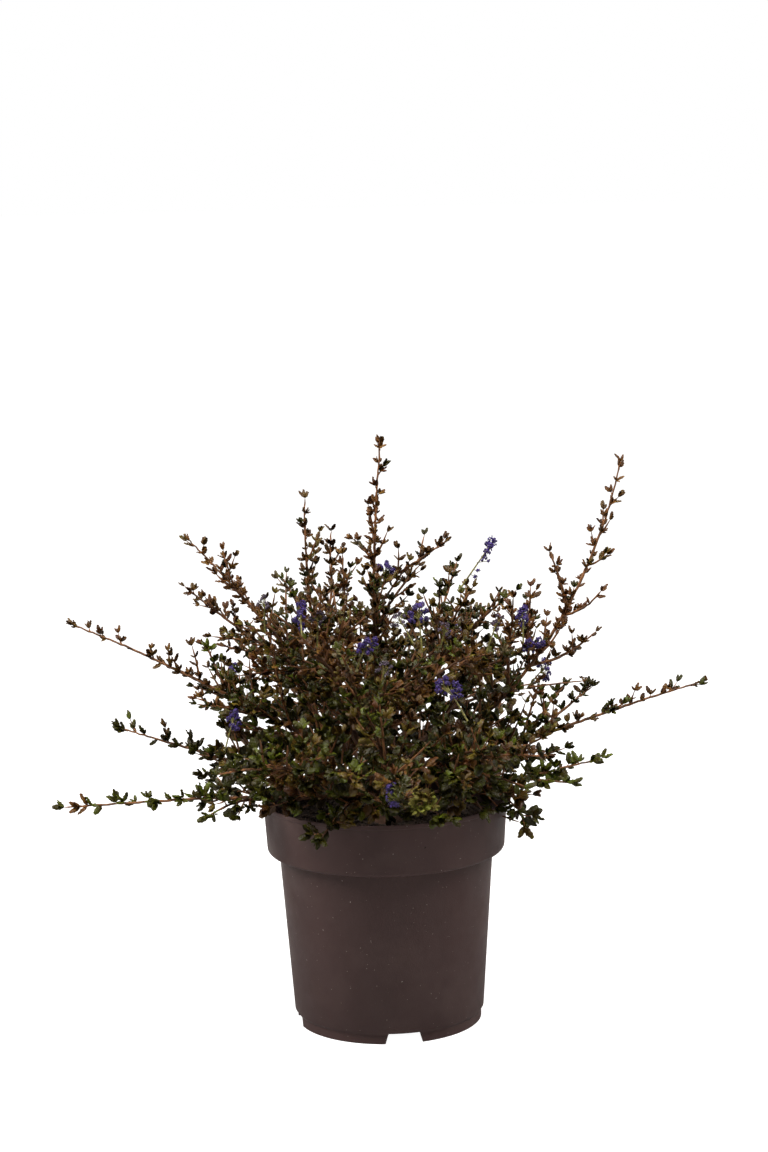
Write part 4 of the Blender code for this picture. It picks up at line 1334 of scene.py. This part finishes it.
def make_blossom(twigs):
    flowers = Joined()
    stalks = Joined()
    draw = random.Random("blossom")
    for faded, heads in enumerate((BLOSSOMS, FADED)):
        for head in heads:
            grow_head(head, faded, twigs, flowers, stalks, draw)
    nodes = ["foliage_" + name for name in MASSES]
    colours = [petal_material("petal_indigo", INDIGO), petal_material("petal_faded", FADED_INDIGO)]
    piece("blossom", flowers.mesh("blossom"), colours, nodes)
    stalk = petal_material("blossom_stalk", STALK_GREEN)
    piece("blossom_stalks", stalks.mesh("blossom_stalks"), [stalk], nodes)


# Floor, light and camera

def make_camera():
    data = bpy.data.cameras.new("camera")
    data.lens = CAMERA_LENS
    camera = linked("camera", data)
    forward = Vector((math.sin(CAMERA_YAW) * math.cos(CAMERA_PITCH),
                      math.cos(CAMERA_YAW) * math.cos(CAMERA_PITCH), -math.sin(CAMERA_PITCH)))
    right = Vector((math.cos(CAMERA_YAW), -math.sin(CAMERA_YAW), 0.0))
    above = right.cross(forward)
    across = math.cos(CAMERA_ROLL) * right + math.sin(CAMERA_ROLL) * above
    upward = math.cos(CAMERA_ROLL) * above - math.sin(CAMERA_ROLL) * right
    turn = Matrix((across, upward, -forward)).transposed().to_4x4()
    camera.matrix_world = Matrix.Translation((0.0, -CAMERA_BACK, CAMERA_HEIGHT)) @ turn
    bpy.context.scene.camera = camera


def area_light(name, place, size, power):
    data = bpy.data.lights.new(name, "AREA")
    data.shape = "RECTANGLE"
    data.size, data.size_y = size
    data.energy = power
    data.color = LIGHT_COLOUR
    light = linked(name, data)
    light.location = place
    light.rotation_euler = (Vector(LIGHT_TARGET) - Vector(place)).to_track_quat("-Z", "Y").to_euler()


def make_floor():
    """A wide floor that looks white and throws little light back."""
    bm = bmesh.new()
    bmesh.ops.create_circle(bm, cap_ends=True, segments=96, radius=FLOOR_RADIUS)
    mesh = mesh_from_bmesh("floor", bm)
    floor = linked("floor", mesh)
    made, tree, shader = new_material("floor_white")
    shader.inputs["Base Color"].default_value = FLOOR_COLOUR
    shader.inputs["Roughness"].default_value = 0.9
    shader.inputs["Emission Color"].default_value = WHITE
    seen = tree.nodes.new("ShaderNodeLightPath")
    glow = add_node(tree, "ShaderNodeMapRange", **{"To Min": FLOOR_GLOW, "To Max": 1.0})
    tree.links.new(seen.outputs["Is Camera Ray"], glow.inputs["Value"])
    tree.links.new(glow.outputs["Result"], shader.inputs["Emission Strength"])
    mesh.materials.append(made)


def make_room():
    """A room that looks white, dim in front and brighter behind."""
    world = bpy.data.worlds.new("studio")
    world.use_nodes = True
    tree = world.node_tree
    glow = tree.nodes["Background"]
    glow.inputs["Color"].default_value = ROOM_COLOUR
    place = tree.nodes.new("ShaderNodeTexCoord")
    split = tree.nodes.new("ShaderNodeSeparateXYZ")
    tree.links.new(place.outputs["Generated"], split.inputs["Vector"])
    behind = add_node(tree, "ShaderNodeMapRange", **{
        "From Min": ROOM_SPAN[0], "From Max": ROOM_SPAN[1],
        "To Min": ROOM_STRENGTH[0], "To Max": ROOM_STRENGTH[1]})
    tree.links.new(split.outputs["Y"], behind.inputs["Value"])
    tree.links.new(behind.outputs["Result"], glow.inputs["Strength"])
    seen = add_node(tree, "ShaderNodeBackground", Color=WHITE, Strength=1.0)
    path = tree.nodes.new("ShaderNodeLightPath")
    mix = tree.nodes.new("ShaderNodeMixShader")
    tree.links.new(path.outputs["Is Camera Ray"], mix.inputs["Fac"])
    tree.links.new(glow.outputs["Background"], mix.inputs[1])
    tree.links.new(seen.outputs["Background"], mix.inputs[2])
    tree.links.new(mix.outputs["Shader"], tree.nodes["World Output"].inputs["Surface"])
    bpy.context.scene.world = world


def main():
    plans = {name: plan_mass(name) for name in MASSES}
    make_camera()
    make_floor()
    make_room()
    for light in LIGHTS:
        area_light(*light)
    bpy.context.scene.view_settings.view_transform = "Standard"
    make_pot()
    make_compost()
    make_limbs(plans)
    make_blossom(make_crown(plans))
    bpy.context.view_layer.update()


main()
